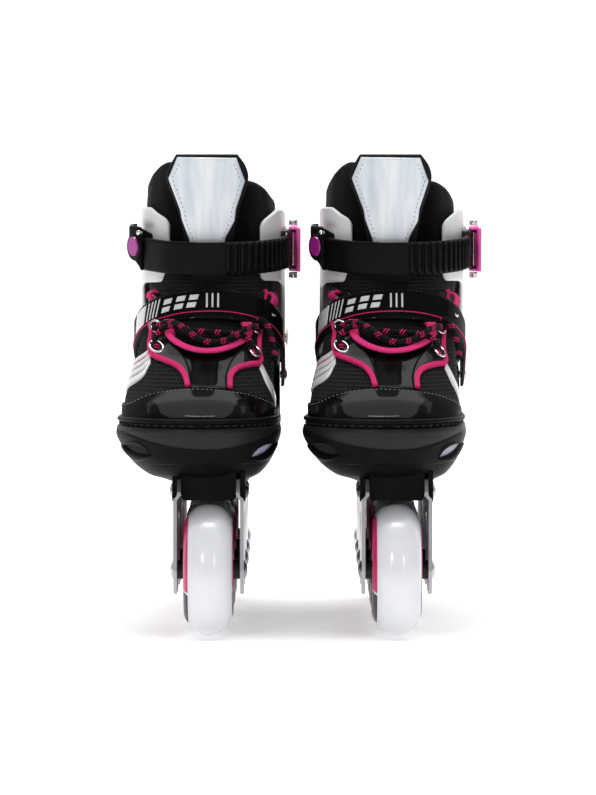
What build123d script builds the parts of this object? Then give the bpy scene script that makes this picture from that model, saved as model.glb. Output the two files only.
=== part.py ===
"""A pair of child's inline skates: soft boot, plastic base, pivoting cuff, ratchet strap, rails, four wheels.

Units are millimetres. +Z is up and the toes point along -Y. The origin is on the ground,
at the bottom centre of the pair's bounding box. Both skates are the same model, side by side.
Each skate is built once in its own frame: x = 0 on the wheel line, y = 0 midway between the
outer axles, z = 0 on the ground, +X on the buckle side.
"""
from build123d import *
from math import cos, pi, sin, sqrt
import os

# ---- driving dimensions ---------------------------------------------------------------
PAIR_SPACING = 92.0          # between the two wheel lines
PAIR_SHIFT = 0.7             # brings the pair's bounding box to the middle

WHEEL_RADIUS = 32.0
WHEEL_WIDTH = 24.0
AXLE_PITCH = 69.0
AXLE_Y = [(i - 1.5) * AXLE_PITCH for i in range(4)]
AXLE_Z = WHEEL_RADIUS

BEARING_OUTER_R = 11.0       # 608 size
BEARING_BORE_R = 4.0
BEARING_IN, BEARING_OUT = 5.1, 12.0
HUB_FIT = 0.05               # radial running clearance between hub and bearing
TYRE_INNER_R = 18.5
TYRE_FLANK_R = 21.0

RAIL_THICK = 1.8
RAIL_GAP = 15.4              # wheel line to the rail's inner face, lower part
RAIL_TOP_GAP = 13.5          # the same for the upper flange, above the jog
RAIL_JOG_Z = 66.5
RAIL_JOG_H = 2.4
RAIL_TOP_Z = 76.4
RAIL_LOW_Z = 20.5
RAIL_END_Y = 115.0

AXLE_BOLT_R = 3.0
AXLE_HEAD_R = 4.9
AXLE_HEAD_H = 1.9
SPACER_FLANGE_R = 4.65

FRAME_BOLT_Y = [-92.0, -64.0, 64.0, 92.0]
FRAME_BOLT_Z = 69.7
FRAME_BOLT_R = 2.5
FRAME_HEAD_R = 3.9
FRAME_HEAD_H = 1.7
LUG_OUT = 18.0               # outer face of the base's lugs
LUG_LOW_Z = 65.2

SHELL_BOTTOM_Z = 74.0
SHELL_RIM_Z = 98.5
WELT_Z = 104.0
SHELL_WALL = 2.8
COUNTER_WALL = 2.6           # heel cup and ankle ears
FOOTBED_Z = 80.0
FOOTBED_THICK = 4.0
LINER_WALL = 5.0

PIVOT_Y, PIVOT_Z = 58.0, 140.0   # ankle joint of the cuff
CUFF_WALL = 2.3
RIVET_R = 3.0
RIVET_HEAD_R = 5.7
RIVET_FIT = 0.05
COLLAR_LOW_Z = 165.0
COLLAR_WALL = 8.0

STRAP_TILT = 5.0             # degrees, the ladder strap rises towards the back
STRAP_MID_Z = 183.0
STRAP_HEIGHT = 16.6
STRAP_THICK = 2.0
LADDER_PITCH = 3.7
LADDER_TEETH = 13
TAB_FACE = (-39.0, -18.0)        # middle of the tab's slanted outer face, where its screw goes in
TAB_OUTWARD = (-0.82, -0.572)    # the way that face looks
SCREW_R = 2.0
SCREW_LENGTH = 10.4
SCREW_UP = 3.5                   # the screw above the strap's middle line
CAP_HALF = (5.4, 4.8)            # the screw cap's half height and half width
CAP_THICK = 1.4

LEVER_PIN = (41.2, 3.0)
LEVER_PIN_R = 0.8
LEVER_REAR_Y = 20.5
LEVER_FRONT_Y = -1.0
LEVER_PLATE_X = (42.7, 43.9)
BUCKLE_GAP = 0.35            # between strap, base cheeks and lever cheeks
BUCKLE_SHEET = 1.1

INSTEP_FALL = 28.0           # degrees, the instep strap's path falls towards the back
INSTEP_TOP = (-47.5, 160.0)  # y and z of its inner face on the centre line
INSTEP_WIDTH = 17.0
INSTEP_THICK = 2.0
STRAP_SIDE_X = {-1: -36.6, 1: 35.0}   # inner faces of the instep strap's ends
STRAP_RIVET = (16.0, 122.5)      # y and z
STRAP_RIVET_R = 1.8

LACE_R = 1.5
EYELETS = [(-25.0, 138.0), (20.0, 134.5), (-26.0, 146.0), (21.0, 146.5)]
LACE_LIFT = (4.2, 8.0)       # how far the lower and the upper lace run clear the boot

TONGUE_FOOT = (-27.5, 166.0)     # y and z of the back of the tongue, where it leans forwards
TONGUE_LEAN = 6.0
TONGUE_THICK = 8.5

os.makedirs("parts", exist_ok=True)


# ---- helpers --------------------------------------------------------------------------
def mix(a, b, k):
    """The point a share k of the way from a to b."""
    return tuple(p + (q - p) * k for p, q in zip(a, b))


def ring(points, z):
    """A horizontal face bounded by a smooth closed curve through the points."""
    edge = Spline(*[(x, y, z) for x, y in points], periodic=True)
    return Face(Wire([edge]))


def skin(levels, ruled=False):
    """A solid through horizontal rings, given as (points, z) from the bottom up."""
    return Solid.make_loft([ring(points, z).outer_wire() for points, z in levels], ruled)


def column(points, z0, z1):
    """A ring pushed straight up from z0 to z1."""
    return Solid.extrude(ring(points, z0), Vector(0, 0, z1 - z0))


def inset(points, d):
    """The ring of points moved inwards by d, each along its own normal."""
    moved = []
    for i, (x, y) in enumerate(points):
        xa, ya = points[i - 1]
        xb, yb = points[(i + 1) % len(points)]
        tx, ty = xb - xa, yb - ya
        size = sqrt(tx * tx + ty * ty)
        moved.append((x + d * ty / size, y - d * tx / size))
    return moved


def reshape(points, left, right, front, back):
    """The ring stretched to new extents, keeping its character."""
    xs = [x for x, y in points]
    ys = [y for x, y in points]
    grow = (back - front) / (max(ys) - min(ys))
    return [(x * left / min(xs) if x < 0 else x * right / max(xs), back + (y - max(ys)) * grow)
            for x, y in points]


def oval(left, right, front, back, square=0.55):
    """A squarish closed outline from its four extents, toe first, then round by -X."""
    middle = (front + back) / 2
    half = (back - front) / 2
    points = []
    for i in range(16):
        s, c = sin(pi * i / 8), cos(pi * i / 8)
        x = abs(s) ** square
        y = abs(c) ** square * (1 if c > 0 else -1)
        points.append((x * left if s > 0 else x * right, middle - y * half))
    return points


def x_cylinder(radius, x0, x1, y, z):
    """A cylinder along X from x0 to x1."""
    return Pos((x0 + x1) / 2, y, z) * Cylinder(radius, abs(x1 - x0), rotation=(0, 90, 0))


def z_cylinder(radius, x, y, z0, z1):
    return Pos(x, y, (z0 + z1) / 2) * Cylinder(radius, z1 - z0)


def prism(points, direction):
    """A flat closed polygon of 3-D points, pushed along a direction."""
    return Solid.extrude(Face(Wire(Polyline(*points, close=True).edges())), Vector(*direction))


def x_prism(points, x0, x1):
    """A polygon of (y, z) pushed from x0 to x1."""
    return prism([(x0, y, z) for y, z in points], (x1 - x0, 0, 0))


def y_prism(points, y0, y1):
    """A polygon of (x, z) pushed from y0 to y1."""
    return prism([(x, y0, z) for x, z in points], (0, y1 - y0, 0))


def block(x0, x1, y0, y1, z0, z1):
    """A box from its limits."""
    return Pos((x0 + x1) / 2, (y0 + y1) / 2, (z0 + z1) / 2) * Box(x1 - x0, y1 - y0, z1 - z0)


def mirror_x(x0, x1, side):
    """Two X limits on the given side, in rising order."""
    return sorted((side * x0, side * x1))


def turned(*edges):
    """A closed outline of (x, 0, r) edges revolved about the X axis."""
    return revolve(Face(Wire(list(edges))), Axis.X, 360)


def turned_polygon(profile):
    return turned(*Polyline(*[(x, 0, r) for x, r in profile], close=True).edges())


def button_head(radius, height, x, side, y, z, socket):
    """A domed screw head standing out from x, with a hexagon socket."""
    top = side * height
    dome = ThreePointArc((0, 0, radius), (top * 0.75, 0, radius * 0.55), (top, 0, 0))
    head = turned(dome, Line((top, 0, 0), (0, 0, 0)), Line((0, 0, 0), (0, 0, radius)))
    corners = [(top * 0.3, socket * cos(pi * i / 3), socket * sin(pi * i / 3)) for i in range(6)]
    return Pos(x, y, z) * (head - prism(corners, (side * 5, 0, 0)))


def ribbon(points, thick):
    """A flat band on edge: a smooth open curve through (x, y) points, thickened outwards."""
    outer = []
    for i, (x, y) in enumerate(points):
        xa, ya = points[max(i - 1, 0)]
        xb, yb = points[min(i + 1, len(points) - 1)]
        tx, ty = xb - xa, yb - ya
        size = sqrt(tx * tx + ty * ty)
        outer.append((x + thick * ty / size, y - thick * tx / size))
    near = Spline(*points)
    far = Spline(*outer)
    ends = [Line(points[0], outer[0]), Line(points[-1], outer[-1])]
    return Face(Wire([near.edge(), far.edge()] + [e.edge() for e in ends])), far


def group(shapes):
    """Separate solids kept together in one node."""
    return Compound(children=[solid for shape in shapes for solid in shape.solids()])


# ---- outlines seen from above ---------------------------------------------------------
# Toe first, then round by the inner side (-X), the heel and the outer side.
RIM = [(-7, -122), (-30, -113), (-43.5, -93), (-45.8, -72), (-39.5, -30), (-34.5, 15),
       (-34, 65), (-24, 98), (0, 110), (24, 98), (34, 65), (34.5, 15),
       (34.9, -30), (35, -72), (30, -96), (14, -116)]
KEEL = [(-3, -100), (-12, -98), (-19, -88), (-20, -72), (-20, -30), (-20, 15),
        (-20, 65), (-14, 86), (0, 92), (14, 86), (20, 65), (20, 15),
        (20, -30), (19, -72), (16, -90), (8, -98)]
# Height, and how far that level has spread from the keel to the rim.
BOWL = [(SHELL_BOTTOM_Z, 0.0), (78.0, 0.40), (84.0, 0.69), (91.0, 0.88), (SHELL_RIM_Z, 1.0)]
# Side view (y, z) of the heel cup with its ankle ears.
COUNTER_EDGE = [(-22, 96), (-22, 102), (0, 108), (10, 127), (26, 129), (44, 136), (48, 148),
                (53, 152), (63, 152), (67, 146), (72, 133), (76, 129), (112, 127), (112, 96)]
# Side view of the cuff: front wings, spine and the rounded feet at the ankle joint.
CUFF_EDGE = [(-32, 171), (-32, 208.5), (30, 206.5), (70, 206), (100, 206), (100, 152), (84, 141),
             (71, 133), (58, 127), (46, 133), (43, 144), (34, 158), (18, 167), (-6, 170)]
CUFF_RING = oval(-37.2, 37.0, -27, 97)
# Left, right, front and back of the boot above the welt, by height.
UPPER = [(111, -42.0, 31.6, -111, 104), (120, -40.5, 31.4, -96, 102), (135, -36.5, 31.2, -70, 96),
         (150, -32.5, 31.0, -51, 91.0), (168, -31.0, 30.6, -38, 88.5)]
COLLAR = [(COLLAR_LOW_Z, -31.5, 31.3, -23, 90), (172, -33.6, 33.4, -24, 92), (206, -34.0, 33.8, -24, 93),
          (219, -32.5, 32.0, -24, 93), (231, -27.5, 26.0, -22, 89)]


def bowl_points(k):
    return [mix(a, b, k) for a, b in zip(KEEL, RIM)]


# ---- frame and wheels -----------------------------------------------------------------
def make_rail(side):
    """One pressed aluminium rail: windows and arches between the axles, a jogged top flange."""
    end = RAIL_END_Y
    outline = [(-113, RAIL_TOP_Z - 6), (-108, RAIL_TOP_Z), (-50, RAIL_TOP_Z), (-44, 68), (44, 68),
               (50, RAIL_TOP_Z), (108, RAIL_TOP_Z), (113, RAIL_TOP_Z - 6), (end, AXLE_Z),
               (end - 6, RAIL_LOW_Z), (6 - end, RAIL_LOW_Z), (-end, AXLE_Z)]
    plate = x_prism(outline, 0, 30)
    for y in AXLE_Y[:-1]:
        middle = y + AXLE_PITCH / 2
        plate -= x_cylinder(13.0, -1, 31, middle, 18.5)
        window = x_prism([(middle - 12.5, 58), (middle + 12.5, 58), (middle, 41)], -1, 31)
        plate -= fillet(window.edges().filter_by(Axis.X), 3.0)
    t = RAIL_THICK
    jog = RAIL_JOG_Z + RAIL_JOG_H
    section = [(RAIL_GAP, 0), (RAIL_GAP, RAIL_JOG_Z), (RAIL_TOP_GAP, jog), (RAIL_TOP_GAP, 90),
               (RAIL_TOP_GAP + t, 90), (RAIL_TOP_GAP + t, jog), (RAIL_GAP + t, RAIL_JOG_Z), (RAIL_GAP + t, 0)]
    rail = plate & y_prism(section, -130, 130)
    for y in AXLE_Y:
        rail -= x_cylinder(AXLE_BOLT_R + 0.05, 0, 30, y, AXLE_Z)
    for y in FRAME_BOLT_Y:
        rail -= x_cylinder(FRAME_BOLT_R + 0.05, 0, 30, y, FRAME_BOLT_Z)
    return rail if side > 0 else mirror(rail, about=Plane.YZ)


def make_tyre(y):
    """A urethane tyre with a bullet-shaped tread and flat flanks."""
    half = WHEEL_WIDTH / 2
    bevel = (half - 1.2, TYRE_INNER_R)
    crown = WHEEL_RADIUS - TYRE_FLANK_R
    tread = EllipticalCenterArc((0, 0), half, crown, start_angle=0, arc_size=180)
    tread = Pos(0, 0, TYRE_FLANK_R) * Rot(90, 0, 0) * tread
    sides = Polyline((half, 0, TYRE_FLANK_R), (half, 0, TYRE_INNER_R + 1.5), (bevel[0], 0, bevel[1]),
                     (-bevel[0], 0, bevel[1]), (-half, 0, TYRE_INNER_R + 1.5), (-half, 0, TYRE_FLANK_R))
    return Pos(0, y, AXLE_Z) * turned(*tread.edges(), *sides.edges())


def make_hub(y):
    """A moulded hub: bearing barrel, six spokes and the rim inside the tyre."""
    seat = BEARING_OUTER_R + HUB_FIT
    barrel = turned_polygon([(-11.6, seat), (-5, seat), (-5, 9.4), (5, 9.4), (5, seat), (11.6, seat),
                             (11.6, 12.8), (-11.6, 12.8)])
    hub = barrel + turned_polygon([(-10.6, 16.4), (10.6, 16.4), (10.6, TYRE_INNER_R), (-10.6, TYRE_INNER_R)])
    for i in range(6):
        hub += Rot(60 * i, 0, 0) * Pos(0, 0, 14.6) * Box(15.0, 3.4, 4.2)
    return Pos(0, y, AXLE_Z) * hub


def make_bearings():
    """Two sealed bearings in each wheel, as race rings with a recessed shield."""
    profile = [(BEARING_IN, BEARING_BORE_R), (BEARING_OUT, BEARING_BORE_R), (BEARING_OUT, 5.8),
               (BEARING_OUT - 0.5, 5.8), (BEARING_OUT - 0.5, 9.4), (BEARING_OUT, 9.4),
               (BEARING_OUT, BEARING_OUTER_R), (BEARING_IN, BEARING_OUTER_R)]
    return group(Pos(0, y, AXLE_Z) * turned_polygon([(side * x, r) for x, r in profile])
                 for y in AXLE_Y for side in (-1, 1))


def make_spacers():
    """Two top-hat bushes per axle: a barrel in the bearings and a flange against the rail."""
    bore = AXLE_BOLT_R + 0.05
    profile = [(0.3, bore), (RAIL_GAP, bore), (RAIL_GAP, SPACER_FLANGE_R), (BEARING_OUT, SPACER_FLANGE_R),
               (BEARING_OUT, BEARING_BORE_R - 0.02), (0.3, BEARING_BORE_R - 0.02)]
    return group(Pos(0, y, AXLE_Z) * turned_polygon([(side * x, r) for x, r in profile])
                 for y in AXLE_Y for side in (-1, 1))


def make_axle_bolts():
    """One bolt per wheel with a button head at each end."""
    face = RAIL_GAP + RAIL_THICK
    bolts = []
    for y in AXLE_Y:
        bolt = x_cylinder(AXLE_BOLT_R, -face, face, y, AXLE_Z)
        for side in (-1, 1):
            bolt += button_head(AXLE_HEAD_R, AXLE_HEAD_H, side * face, side, y, AXLE_Z, 2.0)
        bolts.append(bolt)
    return group(bolts)


def make_frame_bolts():
    """Button-head screws through each lug and rail into the base."""
    screws = []
    for y in FRAME_BOLT_Y:
        for side in (-1, 1):
            screw = x_cylinder(FRAME_BOLT_R, side * 7, side * LUG_OUT, y, FRAME_BOLT_Z)
            screw += button_head(FRAME_HEAD_R, FRAME_HEAD_H, side * LUG_OUT, side, y, FRAME_BOLT_Z, 1.6)
            screws.append(screw)
    return group(screws)


# ---- plastic base ---------------------------------------------------------------------
def shell_hollow(gap):
    """The space inside the base, less a gap, where the footbed and the soft boot sit."""
    d = SHELL_WALL + gap
    return skin([(inset(bowl_points(0.30), d), FOOTBED_Z + gap), (inset(bowl_points(0.69), d), 85.5),
                 (inset(bowl_points(0.88), d), 91.5), (inset(RIM, d), SHELL_RIM_Z),
                 (inset(RIM, d + 0.6), WELT_Z + 2)])


def counter_band(grow):
    """The heel cup and ankle ears, grown on all sides."""
    outer = column(inset(RIM, 0.4 - grow), 94, 160)
    inner = column(inset(RIM, 0.4 + COUNTER_WALL + grow), 93, 161)
    return (outer - inner) & x_prism(COUNTER_EDGE, -50, 50)


def make_shell():
    """The base: toe bumper, sole and heel cup with ankle ears, and lugs that clamp the rails."""
    hull = skin([(bowl_points(k), z) for z, k in BOWL] + [(inset(RIM, 0.8), WELT_Z)])
    shell = hull - shell_hollow(0) + counter_band(0)
    slot_in = RAIL_TOP_GAP - 0.1
    slot_out = RAIL_TOP_GAP + RAIL_THICK + 0.1
    lug_in = RAIL_GAP + RAIL_THICK + 0.1
    lug = [(slot_out, RAIL_JOG_Z + RAIL_JOG_H + 0.4), (slot_out, FOOTBED_Z - 1), (LUG_OUT, FOOTBED_Z - 1),
           (LUG_OUT, LUG_LOW_Z), (lug_in, LUG_LOW_Z), (lug_in, RAIL_JOG_Z + 0.2)]
    for y0, y1 in ((-106, -50), (50, 106)):
        shell += block(-slot_in, slot_in, y0, y1, 66, FOOTBED_Z - 1)
        for side in (-1, 1):
            shell += y_prism([(side * x, z) for x, z in lug], y0 + 4, y1 - 4)
    for side in (-1, 1):
        low, high = mirror_x(slot_in, slot_out, side)
        for y0, y1 in ((-112, -46), (46, 112)):
            shell -= block(low, high, y0, y1, 60, RAIL_TOP_Z + 0.2)
        for y in FRAME_BOLT_Y:
            shell -= x_cylinder(FRAME_BOLT_R, side * 6.9, side * 30, y, FRAME_BOLT_Z)
        shell -= x_cylinder(RIVET_R, side * 28, side * 40, PIVOT_Y, PIVOT_Z)
        shell -= x_cylinder(STRAP_RIVET_R, side * 28, side * 40, *STRAP_RIVET)
    return shell


def make_footbed():
    """The insole board on the floor of the base."""
    low = inset(bowl_points(0.32), SHELL_WALL + 1.2)
    high = inset(bowl_points(0.62), SHELL_WALL + 1.6)
    return skin([(low, FOOTBED_Z + 0.1), (high, FOOTBED_Z + FOOTBED_THICK)])


# ---- soft boot ------------------------------------------------------------------------
def upper_levels(d):
    """The boot's rings inside the base and above it, moved inwards by d."""
    low = [(inset(bowl_points(0.69), SHELL_WALL + 0.2 + d), 85.7),
           (inset(bowl_points(0.88), SHELL_WALL + 0.2 + d), 91.5),
           (inset(RIM, SHELL_WALL + 0.3 + d), SHELL_RIM_Z), (inset(RIM, SHELL_WALL + 1 + d), WELT_Z)]
    base = inset(RIM, SHELL_WALL + 1)
    high = [(inset(reshape(base, *extents), d), z) for z, *extents in UPPER]
    return low + high


def make_boot_upper():
    """The soft boot up to the ankle: a padded shell round the foot, open at the top."""
    outside = skin(upper_levels(0.0), ruled=True)
    inside = upper_levels(LINER_WALL)
    inside[0] = (inside[0][0], inside[0][1] + 3.0)
    cavity = skin(inside, ruled=True)
    edge = [(-130, 80), (-130, 151.5), (-60, 151.5), (58, 163.4), (100, 161.6), (120, 80)]
    boot = (outside & x_prism(edge, -60, 60)) - cavity - counter_band(0.15)
    return boot - instep_band(INSTEP_THICK + 10, INSTEP_WIDTH + 1)


def surface_y(solid, x, z):
    """Where a line along +Y first meets a solid."""
    hits = solid.find_intersection_points(Axis((x, -200, z), (0, 1, 0)))
    return min(point.Y for point, normal in hits)


def make_eyelets(upper):
    """Four wire lace loops standing on the front of the boot."""
    loops = []
    for x, z in EYELETS:
        y = surface_y(upper, x, z) - 3.2
        lean = 35 if x < 0 else -35
        loops.append(Pos(x, y, z) * Rot(0, 0, -lean) * Rot(50, 0, 0) * Torus(3.4, 0.8))
    return group(loops)


def make_laces(upper):
    """Two lace runs from side to side, lying just clear of the boot."""
    runs = []
    for (xa, za), (xb, zb) in ((EYELETS[0], EYELETS[3]), (EYELETS[1], EYELETS[2])):
        lift = LACE_LIFT[0] if za > zb else LACE_LIFT[1]
        ends = [(x, surface_y(upper, x, z) - lift - 1.0, z) for x, z in ((xa, za), (xb, zb))]
        z = (za + zb) / 2
        middle = ((xa + xb) / 2, surface_y(upper, 0, z) - lift, z)
        path = ThreePointArc(ends[0], middle, ends[1])
        runs.append(sweep(Plane(path @ 0, z_dir=path % 0) * Circle(LACE_R), path=path))
    return group(runs)


def leaned(outline, y0, y1):
    """A prism of (x, z) from y0 to y1, leaning forwards as the tongue does."""
    y, z = TONGUE_FOOT
    return Pos(0, y, z) * Rot(TONGUE_LEAN, 0, 0) * Pos(0, 0, -z) * y_prism(outline, y0, y1)


def make_tongue():
    """The top of the tongue: a padded plate, widest near its top, leaning forwards."""
    outline = [(-10.5, 166), (-15, 185), (-19, 222), (-15.5, 235.5), (14, 235.5), (17.5, 222), (14.5, 185),
               (10, 166)]
    plate = leaned(outline, -TONGUE_THICK, 0)
    long_edges = plate.edges().filter_by(lambda edge: abs(edge.length - TONGUE_THICK) < 0.01)
    return fillet(long_edges, 4.0)


def tongue_gap():
    """The split in the collar that the tongue stands in."""
    outline = [(-11.5, 150), (-15.5, 185), (-20, 222), (-20, 245), (18.5, 245), (18.5, 222), (15.5, 185),
               (11, 150)]
    return leaned(outline, -30, 12)


def make_collar():
    """The padded collar round the ankle, open for the leg and split for the tongue."""
    rings = [(oval(left, right, front, back), z) for z, left, right, front, back in COLLAR]
    cavity = [(inset(points, COLLAR_WALL), z) for points, z in rings]
    cavity[0] = (cavity[0][0], COLLAR_LOW_Z - 1)
    cavity[-1] = (cavity[-1][0], 233)
    slope = x_prism([(-60, 160), (-60, 229), (0, 228), (60, 222), (110, 231), (110, 160)], -60, 60)
    return (skin(rings) & slope) - skin(cavity) - tongue_gap()


# ---- cuff and its strap ---------------------------------------------------------------
def make_cuff():
    """The cuff: a wall round the ankle with a wing each side of the tongue."""
    wall = column(CUFF_RING, 120, 220) - column(inset(CUFF_RING, CUFF_WALL), 119, 221)
    cuff = wall & x_prism(CUFF_EDGE, -50, 50)
    cuff -= y_prism([(-18, 160), (-23, 222), (27, 222), (22, 160)], -60, 10)
    for side in (-1, 1):
        cuff -= x_cylinder(RIVET_R + RIVET_FIT, side * 30, side * 45, PIVOT_Y, PIVOT_Z)
    return cuff - tilted(screw_hole())


def make_rivets():
    """Ankle rivets set in the base, and the two that hold the instep strap's ends."""
    rivets = []
    for side in (-1, 1):
        shank = x_cylinder(RIVET_R, side * 31.6, side * 37.5, PIVOT_Y, PIVOT_Z)
        rivets.append(shank + button_head(RIVET_HEAD_R, 1.5, side * 37.5, side, PIVOT_Y, PIVOT_Z, 2.4))
        y, z = STRAP_RIVET
        face = STRAP_SIDE_X[side] + side * INSTEP_THICK
        stem = x_cylinder(STRAP_RIVET_R, side * 31.6, face, y, z)
        rivets.append(stem + button_head(3.1, 1.2, face, side, y, z, 1.0))
    return group(rivets)


def instep_frame():
    """The instep strap's own frame: x across, y down along its path, z along its width."""
    return Pos(0, *INSTEP_TOP) * Rot(-INSTEP_FALL, 0, 0)


def instep_band(thick, width):
    """The instep strap's arch from side to side, of a given thickness and width."""
    left, right = STRAP_SIDE_X[-1], STRAP_SIDE_X[1]
    inner = [(left, 78), (left, 58), (left - 0.8, 34), (-31, 15), (-17, 3.5), (0, 0), (15, 3), (27.5, 13),
             (34.2, 32), (right, 55), (right, 78)]
    face, outer = ribbon(inner, thick)
    return instep_frame() * Pos(0, 0, -width / 2) * Solid.extrude(face, Vector(0, 0, width))


def make_instep_strap():
    """A flat strap over the instep, riveted to the base on both sides."""
    strap = instep_band(INSTEP_THICK, INSTEP_WIDTH)
    for side in (-1, 1):
        strap -= x_cylinder(STRAP_RIVET_R, side * 30, side * 45, *STRAP_RIVET)
    return strap


def tilted(shape):
    """Carries a piece of the ladder strap or buckle from level to its slight rearward rise."""
    return Pos(0, -44, STRAP_MID_Z) * Rot(STRAP_TILT, 0, 0) * Pos(0, 44, -STRAP_MID_Z) * shape


STRAP_LOW = STRAP_MID_Z - STRAP_HEIGHT / 2
STRAP_HIGH = STRAP_MID_Z + STRAP_HEIGHT / 2
CHEEK_LOW = STRAP_LOW - BUCKLE_GAP - BUCKLE_SHEET
CHEEK_HIGH = STRAP_HIGH + BUCKLE_GAP + BUCKLE_SHEET


def make_ladder_strap():
    """The ladder strap round the front of the cuff, with ratchet grooves on its buckle end."""
    inner = [(-33.4, -20.8), (-30.6, -25.6), (-22, -36.6), (-11, -43.0), (0, -45.4), (20, -40), (33, -25.5),
             (37.7, -8), (37.9, 8)]
    face, outer = ribbon(inner, STRAP_THICK)
    strap = Solid.extrude(face, Vector(0, 0, STRAP_HEIGHT))
    length = outer.length
    for i in range(LADDER_TEETH):
        x, y, z = outer @ (1 - (6 + i * LADDER_PITCH) / length)
        strap -= z_cylinder(0.9, x, y, 2.0, STRAP_HEIGHT - 2.0)
    return tilted(Pos(0, 0, STRAP_LOW) * strap)


def on_tab(along, out):
    """A point in plan from the middle of the tab's face: along it towards the back, and outwards."""
    nx, ny = TAB_OUTWARD
    return TAB_FACE[0] + along * ny + out * nx, TAB_FACE[1] - along * nx + out * ny


def make_strap_tab(cuff_core):
    """The fixed end of the ladder strap: a moulded block screwed to the corner of the cuff."""
    face_front, face_back = on_tab(-4.5, 0), on_tab(5.0, 0)
    foot_front = on_tab(-4.5, -12)
    outline = [face_front, face_back, (-42.0, -12.0), (-42.0, -5.0), (-40.6, -3.5), (-30.0, -3.5), foot_front]
    raised = [(-42.0, -12.0), (-42.0, -5.0), (-40.6, -3.5), (-36.0, -3.5), (-36.0, -12.0)]
    low, high, top = STRAP_LOW - 0.6, STRAP_HIGH + 1.2, STRAP_HIGH + 5.5
    tab = prism([(x, y, low) for x, y in outline], (0, 0, high - low))
    tab += prism([(x, y, high - 1) for x, y in raised], (0, 0, top - high + 1))
    return tilted(tab - screw_hole()) - cuff_core


def along_screw(shape):
    """Carries a shape from the Z axis to the screw's axis, with Z pointing outwards."""
    x, y = TAB_FACE
    nx, ny = TAB_OUTWARD
    return Plane((x, y, STRAP_MID_Z + SCREW_UP), x_dir=(0, 0, 1), z_dir=(nx, ny, 0)) * shape


def screw_hole():
    return along_screw(Pos(0, 0, -6) * Cylinder(SCREW_R, 16))


def make_strap_screw():
    """The screw through the tab and the cuff, under an oval cap."""
    cap = extrude(Ellipse(*CAP_HALF), CAP_THICK, taper=25)
    stem = Pos(0, 0, -SCREW_LENGTH / 2) * Cylinder(SCREW_R, SCREW_LENGTH)
    return tilted(along_screw(stem + cap))


def make_buckle_base(cuff_core):
    """The buckle's folded plate: a floor on the cuff and a cheek above and below the strap."""
    base = block(34, 37.6, -4, 22, CHEEK_LOW, CHEEK_HIGH)
    cheek = [(36, -1.0), (39.7, -1.0), (41.2, 0.95), (41.9, 1.9), (42.3, 2.8), (42.3, 6.5), (36, 6.5)]
    for z in (CHEEK_LOW, CHEEK_HIGH - BUCKLE_SHEET):
        base += prism([(x, y, z) for x, y in cheek], (0, 0, BUCKLE_SHEET))
    return tilted(base - z_cylinder(LEVER_PIN_R, *LEVER_PIN, 160, 210)) - cuff_core


def make_buckle_pin():
    """The pin that the lever turns on."""
    reach = BUCKLE_GAP + BUCKLE_SHEET + 0.2
    return tilted(z_cylinder(LEVER_PIN_R, *LEVER_PIN, CHEEK_LOW - reach, CHEEK_HIGH + reach))


def make_buckle_lever():
    """The lever: an outer plate with a flared front lip and two cheeks on the pin."""
    x0, x1 = LEVER_PLATE_X
    low = CHEEK_LOW - BUCKLE_GAP - BUCKLE_SHEET
    high = CHEEK_HIGH + BUCKLE_GAP + BUCKLE_SHEET
    outline = [(x0, LEVER_FRONT_Y), (x1 + 0.5, LEVER_FRONT_Y - 2.0), (x1, 3), (x1 - 0.4, 18),
               (x1 - 2.0, LEVER_REAR_Y), (x0 - 1.6, LEVER_REAR_Y - 0.5), (x0 - 0.4, 17)]
    lever = prism([(x, y, low) for x, y in outline], (0, 0, high - low))
    for z0 in (low, high - BUCKLE_SHEET):
        cheek = [(39.0, 1.0, z0), (39.6, -0.6, z0), (x0 + 0.4, LEVER_FRONT_Y + 0.4, z0), (x0 + 0.2, 17, z0),
                 (x0 - 1.6, 18.5, z0), (39.0, 6, z0)]
        lever += prism(cheek, (0, 0, BUCKLE_SHEET))
    return tilted(lever - z_cylinder(LEVER_PIN_R + 0.05, *LEVER_PIN, 160, 210))


# ---- the pair -------------------------------------------------------------------------
def make_skate():
    """Every piece of one skate, by name."""
    upper = make_boot_upper()
    cuff_core = column(inset(CUFF_RING, -0.02), 120, 220)
    pieces = {
        "shell": make_shell(), "footbed": make_footbed(), "boot_upper": upper,
        "eyelets": make_eyelets(upper), "laces": make_laces(upper),
        "instep_strap": make_instep_strap(), "rivets": make_rivets(),
        "rail_outer": make_rail(1), "rail_inner": make_rail(-1), "frame_bolts": make_frame_bolts(),
        "axle_bolts": make_axle_bolts(), "axle_spacers": make_spacers(), "bearings": make_bearings(),
        "cuff": make_cuff(), "collar": make_collar(), "tongue": make_tongue(),
        "ladder_strap": make_ladder_strap(), "strap_tab": make_strap_tab(cuff_core),
        "strap_screw": make_strap_screw(), "buckle_base": make_buckle_base(cuff_core),
        "buckle_pin": make_buckle_pin(), "buckle_lever": make_buckle_lever(),
    }
    for number, y in enumerate(AXLE_Y, 1):
        pieces[f"tyre_{number}"] = make_tyre(y)
        pieces[f"hub_{number}"] = make_hub(y)
    return pieces


for name, piece in make_skate().items():
    for skate, side in (("left", -1), ("right", 1)):
        placed = Pos(side * PAIR_SPACING / 2 + PAIR_SHIFT, 0, 0) * group([piece])
        export_step(placed, f"parts/{skate}_{name}.step")
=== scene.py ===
"""Looks for the pair of inline skates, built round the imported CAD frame.

Shapes are worked out in millimetres in one skate's own frame: x = 0 on the wheel line, y = 0 midway
between the outer axles, z = 0 on the ground, toes towards -Y. Each piece is made once and placed twice.
"""
import math

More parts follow.
